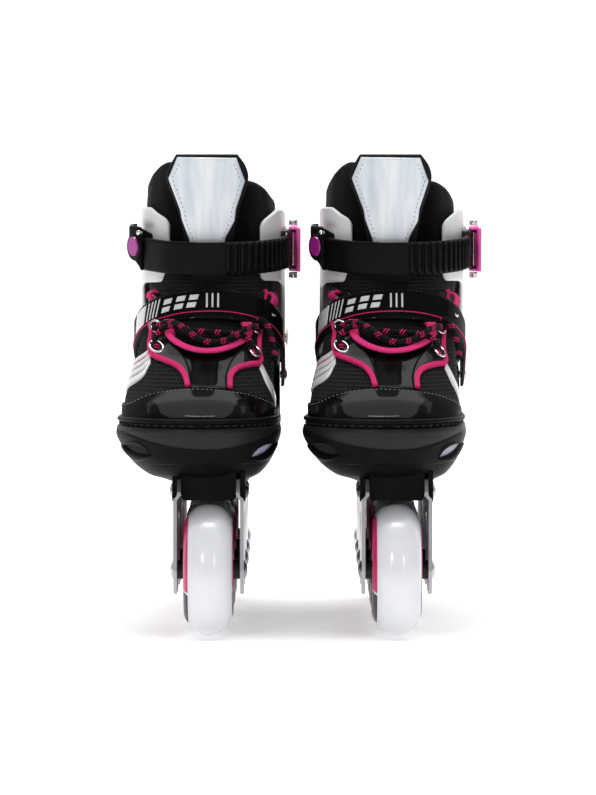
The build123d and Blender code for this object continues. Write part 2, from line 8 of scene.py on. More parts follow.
import bmesh
import bpy
import numpy as np
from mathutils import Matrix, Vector


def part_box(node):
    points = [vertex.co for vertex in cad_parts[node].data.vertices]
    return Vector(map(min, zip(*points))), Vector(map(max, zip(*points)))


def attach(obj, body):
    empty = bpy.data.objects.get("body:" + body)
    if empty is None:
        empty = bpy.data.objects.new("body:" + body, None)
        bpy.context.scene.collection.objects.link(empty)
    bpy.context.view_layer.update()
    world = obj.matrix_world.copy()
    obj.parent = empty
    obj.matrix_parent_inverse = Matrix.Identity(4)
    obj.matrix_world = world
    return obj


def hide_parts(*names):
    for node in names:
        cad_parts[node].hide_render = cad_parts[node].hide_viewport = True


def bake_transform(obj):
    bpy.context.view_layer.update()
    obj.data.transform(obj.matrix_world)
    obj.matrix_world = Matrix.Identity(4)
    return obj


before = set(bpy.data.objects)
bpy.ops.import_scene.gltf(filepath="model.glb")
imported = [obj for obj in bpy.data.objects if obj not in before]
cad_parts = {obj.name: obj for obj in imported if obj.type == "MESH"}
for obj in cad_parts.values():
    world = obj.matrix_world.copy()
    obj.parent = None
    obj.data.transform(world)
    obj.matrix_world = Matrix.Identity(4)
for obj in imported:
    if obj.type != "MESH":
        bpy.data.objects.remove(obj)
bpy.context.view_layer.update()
MM = 0.001
SKATES = ("left", "right")


def line_x(skate):
    """The wheel line of a skate, in metres."""
    low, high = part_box(f"{skate}_tyre_1")
    return (low.x + high.x) / 2


ORIGIN = {skate: line_x(skate) for skate in SKATES}
AXLES = []
for number in range(1, 5):
    low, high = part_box(f"left_tyre_{number}")
    AXLES.append(((low.y + high.y) / 2, (low.z + high.z) / 2))

# ---- dimensions shared with the frame, in millimetres ---------------------------------
RIM = [(-7, -122), (-30, -113), (-43.5, -93), (-45.8, -72), (-39.5, -30), (-34.5, 15),
       (-34, 65), (-24, 98), (0, 110), (24, 98), (34, 65), (34.5, 15),
       (34.9, -30), (35, -72), (30, -96), (14, -116)]
KEEL = [(-3, -100), (-12, -98), (-19, -88), (-20, -72), (-20, -30), (-20, 15),
        (-20, 65), (-14, 86), (0, 92), (14, 86), (20, 65), (20, 15),
        (20, -30), (19, -72), (16, -90), (8, -98)]
BOWL_Z = [74.0, 78.0, 84.0, 91.0, 98.5]
BOWL_SPREAD = [0.0, 0.40, 0.69, 0.88, 1.0]
COUNTER_EDGE = [(-22, 102), (0, 108), (10, 127), (26, 129), (44, 136), (48, 148), (53, 152), (63, 152),
                (67, 146), (72, 133), (76, 129), (112, 127)]
CUFF_LOW = [(-32, 171), (-6, 170), (18, 167), (34, 158), (42, 146), (47, 134), (58, 127), (70, 133),
            (84, 141), (100, 152)]
CUFF_HIGH = [(-32, 208), (-18, 208.4), (0, 208.5), (30, 207), (70, 206), (100, 206)]
STRAP_TILT = math.radians(5.0)
STRAP_MID_Z = 183.0
INSTEP_FALL = math.radians(28.0)
INSTEP_TOP = (-47.5, 160.0)
LEVER_PIN = (41.2, 3.0)
TAB_FACE = (-39.0, -18.0)
TAB_OUTWARD = (-0.82, -0.572)
SCREW_UP = 3.5


# ---- curves and surfaces --------------------------------------------------------------
def unit(v):
    """A vector, or each row of vectors, at length 1."""
    return v / np.linalg.norm(v, axis=-1, keepdims=True)


def run_along(points):
    """The distance from a line's start to each of its points."""
    return np.concatenate([[0], np.cumsum(np.linalg.norm(np.diff(points, axis=0), axis=1))])


def rounded(edge):
    """The height, 0 to 1, of a rounded edge at this many radii in from it."""
    return math.sqrt(1 - (1 - min(edge, 1.0)) ** 2)


def inset(points, d):
    """A clockwise ring moved inwards by d."""
    p = np.array(points, float)
    t = unit(np.roll(p, -1, 0) - np.roll(p, 1, 0))
    return p + d * np.stack([t[:, 1], -t[:, 0]], 1)


def reshape(points, left, right, front, back):
    """The ring stretched to new extents, keeping its character."""
    p = np.array(points, float)
    x = np.where(p[:, 0] < 0, p[:, 0] * left / p[:, 0].min(), p[:, 0] * right / p[:, 0].max())
    y = back + (p[:, 1] - p[:, 1].max()) * (back - front) / np.ptp(p[:, 1])
    return np.stack([x, y], 1)


def oval(left, right, front, back, square=0.55):
    """A squarish closed outline from its four extents, toe first, then round by -X."""
    a = np.arange(16) * math.pi / 8
    s, c = np.sin(a), np.cos(a)
    x = np.abs(s) ** square * np.where(s > 0, left, right)
    y = (front + back) / 2 - (back - front) / 2 * np.abs(c) ** square * np.sign(c)
    return np.stack([x, y], 1)


def catmull(a, b, c, d, f):
    """The point at share f of the way from b to c, on a curve through a, b, c and d."""
    return 0.5 * (2 * b + (c - a) * f + (2 * a - 5 * b + 4 * c - d) * f ** 2
                  + (3 * b - a - 3 * c + d) * f ** 3)


def smooth_loop(points, count):
    """Points round a smooth closed curve through the given ones."""
    p = np.array(points, float)
    m = len(p)
    t = np.arange(count) * m / count
    i = t.astype(int)
    f = (t - i)[:, None]
    return catmull(p[(i - 1) % m], p[i % m], p[(i + 1) % m], p[(i + 2) % m], f)


def smooth_path(points, count):
    """Evenly spaced points along a smooth open curve through the given ones."""
    p = np.array(points, float)
    m = len(p)
    q = np.vstack([2 * p[0] - p[1], p, 2 * p[-1] - p[-2]])
    t = np.linspace(0, m - 1, 12 * m)
    i = np.minimum(t.astype(int), m - 2)
    f = (t - i)[:, None]
    fine = catmull(q[i], q[i + 1], q[i + 2], q[i + 3], f)
    run = run_along(fine)
    want = np.linspace(0, run[-1], count)
    return np.stack([np.interp(want, run, fine[:, k]) for k in range(fine.shape[1])], 1)


def pchip(xs, ys, x):
    """Monotone cubic interpolation of rows of ys at x."""
    h = np.diff(xs)
    d = np.diff(ys, axis=0) / h.reshape(-1, *[1] * (ys.ndim - 1))
    m = np.zeros_like(ys)
    a, b = d[:-1], d[1:]
    same = a * b > 0
    m[1:-1] = np.where(same, 2 * a * b / np.where(same, a + b, 1), 0)
    m[0], m[-1] = d[0], d[-1]
    k = int(np.clip(np.searchsorted(xs, x) - 1, 0, len(h) - 1))
    t = min(max((x - xs[k]) / h[k], 0), 1)
    return ((2 * t ** 3 - 3 * t ** 2 + 1) * ys[k] + (t ** 3 - 2 * t ** 2 + t) * h[k] * m[k]
            + (3 * t ** 2 - 2 * t ** 3) * ys[k + 1] + (t ** 3 - t ** 2) * h[k] * m[k + 1])


class Skin:
    """A surface through horizontal rings, addressed by turn u (0 at the toe, rising towards -X) and z."""

    COUNT = 1024

    def __init__(self, levels):
        self.heights = np.array([z for z, ring in levels], float)
        self.rings = np.stack([smooth_loop(ring, self.COUNT) for z, ring in levels])
        self.cache = {}

    def ring(self, z):
        key = round(float(z), 4)
        if key not in self.cache:
            self.cache[key] = pchip(self.heights, self.rings, key)
        return self.cache[key]

    def at(self, u, z):
        ring = self.ring(z)
        k = (u % 1.0) * self.COUNT
        i = int(k)
        f = k - i
        x, y = ring[i % self.COUNT] * (1 - f) + ring[(i + 1) % self.COUNT] * f
        return np.array([x, y, z])

    def normal(self, u, z):
        along = self.at(u + 0.004, z) - self.at(u - 0.004, z)
        up = self.at(u, z + 0.3) - self.at(u, z - 0.3)
        return unit(np.cross(up, along))

    def point(self, u, z, lift=0.0):
        return self.at(u, z) + lift * self.normal(u, z)

    def turn(self, x, z):
        """The u of the front point with this x and z."""
        ring = self.ring(z)
        k = np.arange(-self.COUNT // 5, self.COUNT // 5)
        xs = ring[k % self.COUNT, 0]
        first, last = int(np.argmax(xs)), int(np.argmin(xs))
        return float(np.interp(-x, -xs[first:last + 1], k[first:last + 1] / self.COUNT))

    def front(self, x, z, lift=0.0):
        return self.point(self.turn(x, z), z, lift)

    def line(self, points, lift, count):
        """A smooth line on the front of the surface through (x, z) points."""
        return np.array([self.front(x, z, lift) for x, z in smooth_path(points, count)])


BOOT_BASE = inset(RIM, 3.8)
BOOT = Skin([(98.5, inset(RIM, 3.1)),
             (104, BOOT_BASE),
             (111, reshape(BOOT_BASE, -42.0, 31.6, -111, 104)),
             (120, reshape(BOOT_BASE, -40.5, 31.4, -96, 102)),
             (135, reshape(BOOT_BASE, -36.5, 31.2, -70, 96)),
             (150, reshape(BOOT_BASE, -33.0, 31.0, -51, 91)),
             (162, oval(-32.0, 31.0, -43, 89, 0.72)),
             (172, oval(-31.5, 31.0, -35, 89, 0.66)),
             (182, oval(-31.0, 31.0, -29, 89, 0.6))])
SPREAD = np.array(RIM) - np.array(KEEL)
BOWL = Skin([(z, np.array(KEEL) + SPREAD * k) for z, k in zip(BOWL_Z, BOWL_SPREAD)]
            + [(104, inset(RIM, 0.8))])
CUFF = Skin([(120, oval(-37.2, 37.0, -27, 97)), (220, oval(-37.2, 37.0, -27, 97))])
COLLAR = Skin([(160, oval(-31.0, 31.0, -23, 90)),
               (172, oval(-33.4, 33.0, -23.5, 92)),
               (206, oval(-33.7, 31.6, -24, 93)),
               (219, oval(-32.9, 29.8, -24, 92)),
               (236, oval(-29, 26.5, -22, 90))])


# ---- mesh making ----------------------------------------------------------------------
def grid_faces(rows, columns, closed=False):
    """Quads of a grid numbered row by row, facing outwards on a Skin whose rows rise."""
    faces = []
    for i in range(rows - 1):
        for j in range(columns if closed else columns - 1):
            k = (j + 1) % columns
            faces.append((i * columns + k, i * columns + j, (i + 1) * columns + j, (i + 1) * columns + k))
    return faces


def tube_faces(rings, count):
    """Quads between closed rings of points, and a face over each end."""
    faces = []
    for k in range(rings - 1):
        for j in range(count):
            i = (j + 1) % count
            faces.append((k * count + j, k * count + i, (k + 1) * count + i, (k + 1) * count + j))
    faces.append(tuple(reversed(range(count))))
    faces.append(tuple((rings - 1) * count + j for j in range(count)))
    return faces


def join(parts):
    """Several (verts, faces, uvs) as one."""
    verts, faces, uvs, start = [], [], [], 0
    for v, f, t in parts:
        verts.append(np.asarray(v, float))
        uvs.append(np.asarray(t, float))
        faces += [tuple(i + start for i in face) for face in f]
        start += len(v)
    return np.vstack(verts), faces, np.vstack(uvs)


def sheet_grid(points, uvs, closed=False):
    """A grid of 3-D points as (verts, faces, uvs)."""
    rows, columns = len(points), len(points[0])
    verts = np.array(points, float).reshape(-1, 3)
    return verts, grid_faces(rows, columns, closed), np.array(uvs, float).reshape(-1, 2)


def frames(points, closed=False):
    """A steady pair of normals along a line."""
    p = np.array(points, float)
    if closed:
        t = np.roll(p, -1, 0) - np.roll(p, 1, 0)
    else:
        t = np.gradient(p, axis=0)
    t = unit(t)
    a = np.cross(t[0], [0, 0, 1.0])
    if np.linalg.norm(a) < 0.1:
        a = np.cross(t[0], [1.0, 0, 0])
    a = unit(a)
    firsts = []
    for tangent in t:
        a = unit(a - tangent * (a @ tangent))
        firsts.append(a)
    return np.array(firsts), np.cross(t, firsts)


def tube(points, radius, sides=8, closed=False, taper=None, flat=1.0):
    """A round (or flattened) tube along a line, capped at open ends."""
    p = np.array(points, float)
    a, b = frames(p, closed)
    n = len(p)
    scale = np.ones(n) if taper is None else np.array(taper, float)
    run = run_along(p)
    verts, uvs, faces = [], [], []
    for k in range(n):
        for j in range(sides):
            w = 2 * math.pi * j / sides
            verts.append(p[k] + radius * scale[k] * (math.cos(w) * a[k] + flat * math.sin(w) * b[k]))
            uvs.append((run[k], j / sides))
    for k in range(n if closed else n - 1):
        m = (k + 1) % n
        for j in range(sides):
            i = (j + 1) % sides
            faces.append((k * sides + j, m * sides + j, m * sides + i, k * sides + i))
    if not closed:
        faces.append(tuple(range(sides)))
        faces.append(tuple((n - 1) * sides + j for j in reversed(range(sides))))
    return np.array(verts), faces, np.array(uvs)


def stitches(points, step=3.0, length=2.0, radius=0.28):
    """A row of short raised threads along a line."""
    p = np.array(points, float)
    run = run_along(p)
    parts = []
    for k in range(int(run[-1] // step)):
        want = k * step + np.linspace(0, length, 4)
        line = np.stack([np.interp(want, run, p[:, c]) for c in range(3)], 1)
        parts.append(tube(line, radius, 6, taper=(0.35, 1, 1, 0.35)))
    return join(parts)


def extrusion(outline, low, high, axis):
    """A polygon pushed along one axis: 0 for (y, z) outlines, 1 for (x, z), 2 for (x, y)."""
    n = len(outline)
    verts = []
    for level in (low, high):
        for a, b in outline:
            v = [a, b]
            v.insert(axis, level)
            verts.append(v)
    faces = [tuple(range(n)), tuple(reversed(range(n, 2 * n)))]
    faces += [(i, i + n, (i + 1) % n + n, (i + 1) % n) for i in range(n)]
    return np.array(verts, float), faces, np.array(verts, float)[:, :2]


def put(name, data, location=(0, 0, 0)):
    """A new object in the scene."""
    piece = bpy.data.objects.new(name, data)
    bpy.context.scene.collection.objects.link(piece)
    piece.location = location
    return piece


def modify(piece, kind, settings):
    modifier = piece.modifiers.new(kind.lower(), kind)
    for key, value in settings.items():
        setattr(modifier, key, value)


def final_mesh(name, shape, materials, modifiers=(), face_material=None, smooth=True, outward=False):
    """Builds the mesh in metres, applies its modifiers and returns the result."""
    verts, faces, uvs = shape
    mesh = bpy.data.meshes.new(name)
    mesh.from_pydata((np.asarray(verts) * MM).tolist(), [], faces)
    layer = mesh.uv_layers.new(name="UVMap")
    loops = np.zeros(len(mesh.loops), int)
    mesh.loops.foreach_get("vertex_index", loops)
    layer.data.foreach_set("uv", np.asarray(uvs, float)[loops].ravel())
    for material in materials:
        mesh.materials.append(material)
    if face_material is not None:
        mesh.polygons.foreach_set("material_index", [face_material(k) for k in range(len(faces))])
    if outward:
        bm = bmesh.new()
        bm.from_mesh(mesh)
        bmesh.ops.recalc_face_normals(bm, faces=bm.faces)
        bm.to_mesh(mesh)
        bm.free()
    mesh.polygons.foreach_set("use_smooth", [smooth] * len(mesh.polygons))
    if not modifiers:
        return mesh
    carrier = put(name, mesh)
    for kind, settings in modifiers:
        modify(carrier, kind, settings)
    depsgraph = bpy.context.evaluated_depsgraph_get()
    made = bpy.data.meshes.new_from_object(carrier.evaluated_get(depsgraph), depsgraph=depsgraph)
    bpy.data.objects.remove(carrier)
    bpy.data.meshes.remove(mesh)
    made.name = name
    return made


def solid(thickness, offset=-1):
    return "SOLIDIFY", {"thickness": thickness * MM, "offset": offset}


def bevel(width, segments=2, angle=35):
    return "BEVEL", {"width": width * MM, "segments": segments, "limit_method": "ANGLE",
                     "angle_limit": math.radians(angle), "harden_normals": False}


def place(name, mesh, body, replaces=(), at=(0, 0, 0)):
    """One object per skate, riding on that skate's body."""
    for skate in SKATES:
        piece = put(f"{skate}_{name}", mesh, (ORIGIN[skate] + at[0], at[1], at[2]))
        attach(piece, f"{skate}_{body}")
        label(skate, replaces)


def label(skate, replaces):
    if replaces:
        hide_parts(*[f"{skate}_{node}" for node in replaces])


def add(name, shape, paints, body, slot, replaces=(), **settings):
    """A shape's mesh on both skates; the settings are those of final_mesh."""
    place(name, final_mesh(name, shape, paints, **settings), body, replaces)


def add_bending(name, shape, paints, slot, replaces=(), **settings):
    """The same with a separate copy of the mesh on each skate, its placement baked in and no body to ride on;
    the settings are those of final_mesh.
    """
    mesh = final_mesh(name, shape, paints, **settings)
    for skate in SKATES:
        x = ORIGIN[skate]
        piece = put(f"{skate}_{name}", mesh.copy(), (x, 0, 0))
        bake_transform(piece)
        label(skate, replaces)


# ---- materials ------------------------------------------------------------------------
class Paint:
    """A material under construction, with short ways to add and link nodes."""

    def __init__(self, name, **sockets):
        self.material = bpy.data.materials.new(name)
        self.material.use_nodes = True
        self.tree = self.material.node_tree
        self.shader = self.tree.nodes["Principled BSDF"]
        self.finish(**sockets)

    def add(self, kind, inputs=None, **settings):
        node = self.tree.nodes.new(kind)
        for key, value in settings.items():
            setattr(node, key, value)
        for key, value in (inputs or {}).items():
            self.feed(node.inputs[key], value)
        return node

    def feed(self, socket, value):
        if isinstance(value, bpy.types.NodeSocket):
            self.tree.links.new(value, socket)
        elif isinstance(value, tuple) and len(value) == 3 and len(socket.default_value) == 4:
            socket.default_value = (*value, 1.0)
        else:
            socket.default_value = value

    def coords(self, kind="Object", scale=(1, 1, 1), rotation=(0, 0, 0)):
        out = self.add("ShaderNodeTexCoord").outputs[kind]
        return self.add("ShaderNodeMapping", {"Vector": out, "Scale": scale, "Rotation": rotation}).outputs[0]

    def noise(self, scale, detail=3.0, coords=None, rough=0.55):
        inputs = {"Vector": coords or self.coords(), "Scale": scale, "Detail": detail, "Roughness": rough}
        return self.add("ShaderNodeTexNoise", inputs).outputs[0]

    def math(self, operation, a, b=0.0, clamp=False):
        node = self.add("ShaderNodeMath", operation=operation, use_clamp=clamp)
        self.feed(node.inputs[0], a)
        self.feed(node.inputs[1], b)
        return node.outputs[0]

    def ramp(self, factor, *stops):
        node = self.add("ShaderNodeValToRGB", {"Fac": factor})
        elements = node.color_ramp.elements
        while len(elements) < len(stops):
            elements.new(0.5)
        for element, (position, colour) in zip(elements, stops):
            element.position = position
            element.color = (*colour, 1.0)
        return node.outputs[0]

    def spread(self, factor, low, high, start=0.0, end=1.0):
        """Maps start..end to low..high."""
        inputs = {"Value": factor, "From Min": start, "From Max": end, "To Min": low, "To Max": high}
        return self.add("ShaderNodeMapRange", inputs).outputs[0]

    def bump(self, height, distance, strength=1.0, below=None):
        inputs = {"Height": height, "Distance": distance * MM, "Strength": strength}
        if below is not None:
            inputs["Normal"] = below
        return self.add("ShaderNodeBump", inputs).outputs[0]

    def finish(self, **links):
        """Sets or links the shader's own sockets."""
        for key, value in links.items():
            self.feed(self.shader.inputs[key.replace("_", " ")], value)
        return self.material


def moulded(name, low, high, rough=(0.4, 0.6), grain=900, depth=0.05, **sockets):
    """Moulded plastic: fine grain, faint mottling and uneven sheen."""
    p = Paint(name, **sockets)
    fine = p.noise(grain, 2.0)
    broad = p.noise(35, 3.0)
    return p.finish(Base_Color=p.ramp(broad, (0.3, low), (0.7, high)), Roughness=p.spread(broad, *rough),
                    Normal=p.bump(fine, depth))


def patent(name, low, high, crease=0.35, rough=(0.10, 0.22), coat=0.8, specular=0.6, stretch=(1, 1, 1),
           waviness=55):
    """Coated leather: glossy, with soft waves and a very fine grain. The waves also set the base colour
    between low and high; with a stretch and a bright high they paint highlight streaks.
    """
    p = Paint(name, Coat_Weight=coat, Coat_Roughness=0.06, Specular_IOR_Level=specular)
    waves = p.noise(waviness, 2.0, p.coords(scale=stretch))
    grain = p.noise(1400, 2.0)
    first = p.bump(waves, crease)
    return p.finish(Base_Color=p.ramp(waves, (0.3, low), (0.75, high)), Roughness=p.spread(waves, *rough),
                    Normal=p.bump(grain, 0.02, below=first))


CLOTH = {"Sheen_Weight": 0.04, "Sheen_Roughness": 0.4, "Specular_IOR_Level": 0.12}


def mesh_fabric(name, cell, thread, hole, depth=0.5):
    """Knitted spacer mesh: staggered round holes between raised threads, from the UV in millimetres."""
    p = Paint(name, Sheen_Weight=0.03, Sheen_Roughness=0.4, Specular_IOR_Level=0.08)
    uv = p.add("ShaderNodeTexCoord").outputs["UV"]
    split = p.add("ShaderNodeSeparateXYZ", {"Vector": uv})
    v = p.math("DIVIDE", split.outputs[1], cell * 0.8)
    row = p.math("FLOOR", v)
    shift = p.math("MULTIPLY", p.math("MODULO", row, 2.0), 0.5)
    u = p.math("ADD", p.math("DIVIDE", split.outputs[0], cell), shift)
    du = p.math("SUBTRACT", p.math("FRACT", u), 0.5)
    dv = p.math("SUBTRACT", p.math("FRACT", v), 0.5)
    reach = p.math("SQRT", p.math("ADD", p.math("MULTIPLY", du, du), p.math("MULTIPLY", dv, dv)))
    solid_part = p.spread(reach, 0.0, 1.0, 0.2, 0.44)
    yarn = p.noise(2600, 2.0)
    colour = p.ramp(solid_part, (0.1, hole), (0.75, thread))
    height = p.math("ADD", solid_part, p.math("MULTIPLY", yarn, 0.25))
    return p.finish(Base_Color=colour, Roughness=p.spread(yarn, 0.65, 0.9), Normal=p.bump(height, depth))


def woven(name, low, high, pitch=0.55, depth=0.15):
    """Plain woven tape from the UV in millimetres."""
    p = Paint(name, **CLOTH)
    uv = p.coords("UV", scale=(2 * math.pi / pitch, 2 * math.pi / pitch, 1))
    split = p.add("ShaderNodeSeparateXYZ", {"Vector": uv})
    weave = p.math("MULTIPLY", p.math("SINE", split.outputs[0]), p.math("SINE", split.outputs[1]))
    lift = p.spread(weave, 0.0, 1.0, -1.0)
    fuzz = p.noise(2500, 2.0)
    return p.finish(Base_Color=p.ramp(lift, (0.1, low), (0.9, high)), Roughness=p.spread(fuzz, 0.6, 0.85),
                    Normal=p.bump(p.math("ADD", lift, p.math("MULTIPLY", fuzz, 0.3)), depth))


def braid(name, main, fleck, share):
    """A round braided cord from its UV: along in millimetres, round in turns."""
    p = Paint(name, **CLOTH)
    split = p.add("ShaderNodeSeparateXYZ", {"Vector": p.add("ShaderNodeTexCoord").outputs["UV"]})
    along = p.math("MULTIPLY", split.outputs[0], 2 * math.pi / 1.6)
    turn = p.math("MULTIPLY", split.outputs[1], 2 * math.pi * 3)
    one = p.math("SINE", p.math("ADD", along, turn))
    two = p.math("SINE", p.math("SUBTRACT", along, turn))
    lift = p.spread(p.math("MAXIMUM", one, two), 0.0, 1.0)
    step = p.math("FRACT", p.math("DIVIDE", split.outputs[0], 8.0))
    pick = p.math("MULTIPLY", p.math("LESS_THAN", step, share), p.math("GREATER_THAN", one, 0.3))
    mixed = p.add("ShaderNodeMix", data_type="RGBA")
    p.feed(mixed.inputs[0], pick)
    p.feed(mixed.inputs[6], main)
    p.feed(mixed.inputs[7], fleck)
    return p.finish(Base_Color=mixed.outputs[2], Roughness=p.spread(lift, 0.85, 0.6),
                    Normal=p.bump(lift, 0.25))


def metal(name, colour, rough=(0.22, 0.38), stretch=(1, 1, 1), grain=400, depth=0.01):
    """Metal with directional brushing and patchy polish."""
    p = Paint(name, Metallic=1.0)
    lines = p.noise(grain, 3.0, p.coords(scale=stretch))
    patches = p.noise(30, 2.0)
    dark = tuple(c * 0.82 for c in colour)
    return p.finish(Base_Color=p.ramp(patches, (0.3, dark), (0.7, colour)), Roughness=p.spread(lines, *rough),
                    Normal=p.bump(lines, depth))


BLACKS = ((0.003, 0.003, 0.0035), (0.006, 0.006, 0.007))
BASE = moulded("base_plastic", *BLACKS, (0.36, 0.5), 700, 0.06,
               Specular_IOR_Level=0.06)
PANEL = moulded("toe_panel", (0.006, 0.006, 0.007), (0.013, 0.013, 0.014), (0.38, 0.5), 420, 0.16,
                Specular_IOR_Level=0.25)
CUFF_WHITE = moulded("cuff_white", (0.80, 0.80, 0.82), (0.86, 0.86, 0.88), (0.28, 0.4), 500, 0.02,
                     Subsurface_Weight=0.08, Subsurface_Scale=0.004)
STRAP_BLACK = moulded("strap_black", *BLACKS, (0.32, 0.45), 800, 0.05,
                      Specular_IOR_Level=0.08)
BUCKLE_DARK = moulded("buckle_dark", (0.03, 0.018, 0.024), (0.06, 0.035, 0.045), (0.3, 0.45), 700, 0.03)
SPACER = moulded("spacer_black", (0.012, 0.012, 0.012), (0.03, 0.03, 0.03), (0.4, 0.6))
HUB = moulded("hub_pink", (0.55, 0.01, 0.09), (0.68, 0.015, 0.13), (0.3, 0.42), 500, 0.02)
LEVER = moulded("lever_pink", (0.96, 0.10, 0.48), (1.0, 0.15, 0.58), (0.22, 0.34), 500, 0.015)
# The lever's own pink made darker: painted shade for the web and front bar that sit in the lever's shadow.
LEVER_PINK_SHADED = moulded("lever_pink_painted_shade", (0.62, 0.012, 0.16), (0.74, 0.02, 0.22), (0.3, 0.42), 500, 0.015)
PURPLE = moulded("cap_purple", (0.33, 0.015, 0.23), (0.42, 0.02, 0.30), (0.18, 0.28), 500, 0.01,
                 Coat_Weight=0.4, Coat_Roughness=0.1)
LILAC = moulded("lens_lilac", (0.52, 0.46, 0.66), (0.62, 0.56, 0.76), (0.3, 0.4), 600, 0.03)
TYRE = moulded("urethane", (0.83, 0.84, 0.88), (0.87, 0.88, 0.92), (0.2, 0.3), 300, 0.01,
               Coat_Weight=0.5, Coat_Roughness=0.08, Subsurface_Weight=0.2, Subsurface_Scale=0.004)
PRINT_PINK = moulded("print_pink", (0.60, 0.012, 0.10), (0.72, 0.02, 0.16), (0.25, 0.4), 500, 0.01)
PRINT_BLACK = moulded("print_black", (0.012, 0.010, 0.011), (0.025, 0.02, 0.02), (0.25, 0.4), 500, 0.01)
PATENT = patent("patent_black", *BLACKS, 0.25, (0.14, 0.22), 0.15, 0.0)
PATENT_GREY = patent("patent_grey", (0.008, 0.008, 0.009), (0.016, 0.016, 0.018), 0.25, (0.14, 0.24),
                     0.16, 0.0)
PATENT_WHITE = patent("patent_white", (0.62, 0.62, 0.65), (0.78, 0.78, 0.80), 0.15, (0.2, 0.35))
RED = patent("trim_red", (0.45, 0.01, 0.03), (0.6, 0.015, 0.05), 0.1, (0.3, 0.4))
PIPING = woven("piping_pink", (0.58, 0.014, 0.12), (0.82, 0.035, 0.21), 0.7, 0.12)
WEBBING = woven("webbing_pink", (0.66, 0.016, 0.14), (0.92, 0.045, 0.26), 0.8, 0.2)
TAPE = woven("tape_pink", (0.74, 0.02, 0.17), (0.98, 0.06, 0.30), 0.6, 0.12)
MESH = mesh_fabric("boot_mesh", 2.3, (0.012, 0.012, 0.013), (0.0005, 0.0005, 0.0005), 0.8)
MESH_FINE = mesh_fabric("collar_mesh", 1.15, (0.008, 0.008, 0.009), (0.002, 0.002, 0.002), 0.22)
LINING = woven("lining_black", (0.005, 0.005, 0.006), (0.012, 0.012, 0.013), 0.7, 0.1)
# The tongue panel's pale blue-white, with painted highlight streaks: the upright-stretched waves lighten its
# colour to near white in thin vertical bands.
TONGUE_PAINTED_GLOSS = patent("tongue_panel", (0.58, 0.66, 0.74), (0.92, 0.95, 0.98), 0.9, (0.08, 0.18), 0.9, 0.6,
                      (1, 1, 0.12), 150)
THREAD = woven("thread_grey", (0.16, 0.16, 0.17), (0.30, 0.30, 0.32), 0.5, 0.05)
THREAD_BLACK = woven("thread_black", (0.015, 0.015, 0.016), (0.04, 0.04, 0.042), 0.5, 0.05)
LACE = braid("lace_black", (0.004, 0.004, 0.005), (0.80, 0.015, 0.17), 0.36)
RAIL = metal("rail_aluminium", (0.56, 0.555, 0.58), (0.28, 0.36), (1, 0.04, 1), 300, 0.002)
STEEL = metal("bolt_steel", (0.60, 0.60, 0.62), (0.2, 0.32))
CHROME = metal("ring_chrome", (0.85, 0.85, 0.87), (0.08, 0.16))
BRASS = metal("rivet_brass", (0.66, 0.60, 0.50), (0.2, 0.34))
BEARING = metal("bearing_steel", (0.66, 0.66, 0.68), (0.15, 0.28))
INSOLE = woven("insole", (0.05, 0.05, 0.055), (0.10, 0.10, 0.105), 0.9, 0.12)


# ---- pads, strips and bands -----------------------------------------------------------
ROUND = 430.0                # millimetres round the boot in one turn, to measure patterns by


def on_front(skin, points):
    """(x, z) points on the front of a skin as (turn, z)."""
    return [(skin.turn(x, z), z) for x, z in points]


def even(curve, count):
    """A (turn, z) curve resampled evenly by its real length."""
    line = smooth_path([(u * ROUND, z) for u, z in curve], count)
    return line / (ROUND, 1.0)


def closed_grid(top, bottom, rows, columns, uvs):
    """Two grids of points joined at their edges into one closed shape."""
    n = rows * columns
    front = grid_faces(rows, columns)
    faces = front + [tuple(i + n for i in reversed(face)) for face in front]
    edge = [j for j in range(columns)] + [i * columns + columns - 1 for i in range(1, rows)]
    edge += [(rows - 1) * columns + j for j in reversed(range(columns - 1))]
    edge += [i * columns for i in reversed(range(1, rows - 1))]
    for k, a in enumerate(edge):
        b = edge[(k + 1) % len(edge)]
        faces.append((a, b, b + n, a + n))
    return np.vstack([top, bottom]), faces, np.vstack([uvs, uvs])


def eased(count):
    """0 to 1 in steps that are smaller near both ends."""
    return (1 - np.cos(np.linspace(0, math.pi, count))) / 2


def pad(skin, low, high, columns, rows, lift, thick, radius=1.2, sink=0.5):
    """A closed pad lying on a skin between two (turn, z) curves, rounded off along its edges."""
    a, b = even(low, 240), even(high, 240)
    length = np.linalg.norm(np.diff(a * (ROUND, 1.0), axis=0), axis=1).sum()
    top, bottom, uvs = [], [], []
    for t in eased(rows):
        for c in eased(columns):
            k = min(int(c * 239), 238)
            f = c * 239 - k
            start = a[k] + (a[k + 1] - a[k]) * f
            end = b[k] + (b[k + 1] - b[k]) * f
            u, z = start + (end - start) * t
            span = np.linalg.norm((end - start) * (ROUND, 1.0))
            rise = rounded(min(min(t, 1 - t) * span, min(c, 1 - c) * length) / radius)
            top.append(skin.point(u, z, lift + thick * rise))
            bottom.append(skin.point(u, z, lift - sink))
            uvs.append((u * ROUND, z))
    return closed_grid(top, bottom, rows, columns, uvs)


def skin_line(skin, curve, lift, count):
    """Points and outward normals along a (turn, z) curve on a skin."""
    line = even(curve, count)
    points = np.array([skin.point(u, z, lift) for u, z in line])
    return points, np.array([skin.normal(u, z) for u, z in line])


def flat_profile(width, thick):
    """A rounded flat cross-section, from its left edge over the top to its right edge."""
    w, c = width / 2, min(thick * 0.5, width * 0.2)
    right = [(w / 3, thick * 1.06), (w - c, thick), (w - c * 0.3, thick - c * 0.3), (w, thick - c), (w, -0.3)]
    return [(-x, z) for x, z in reversed(right)] + right


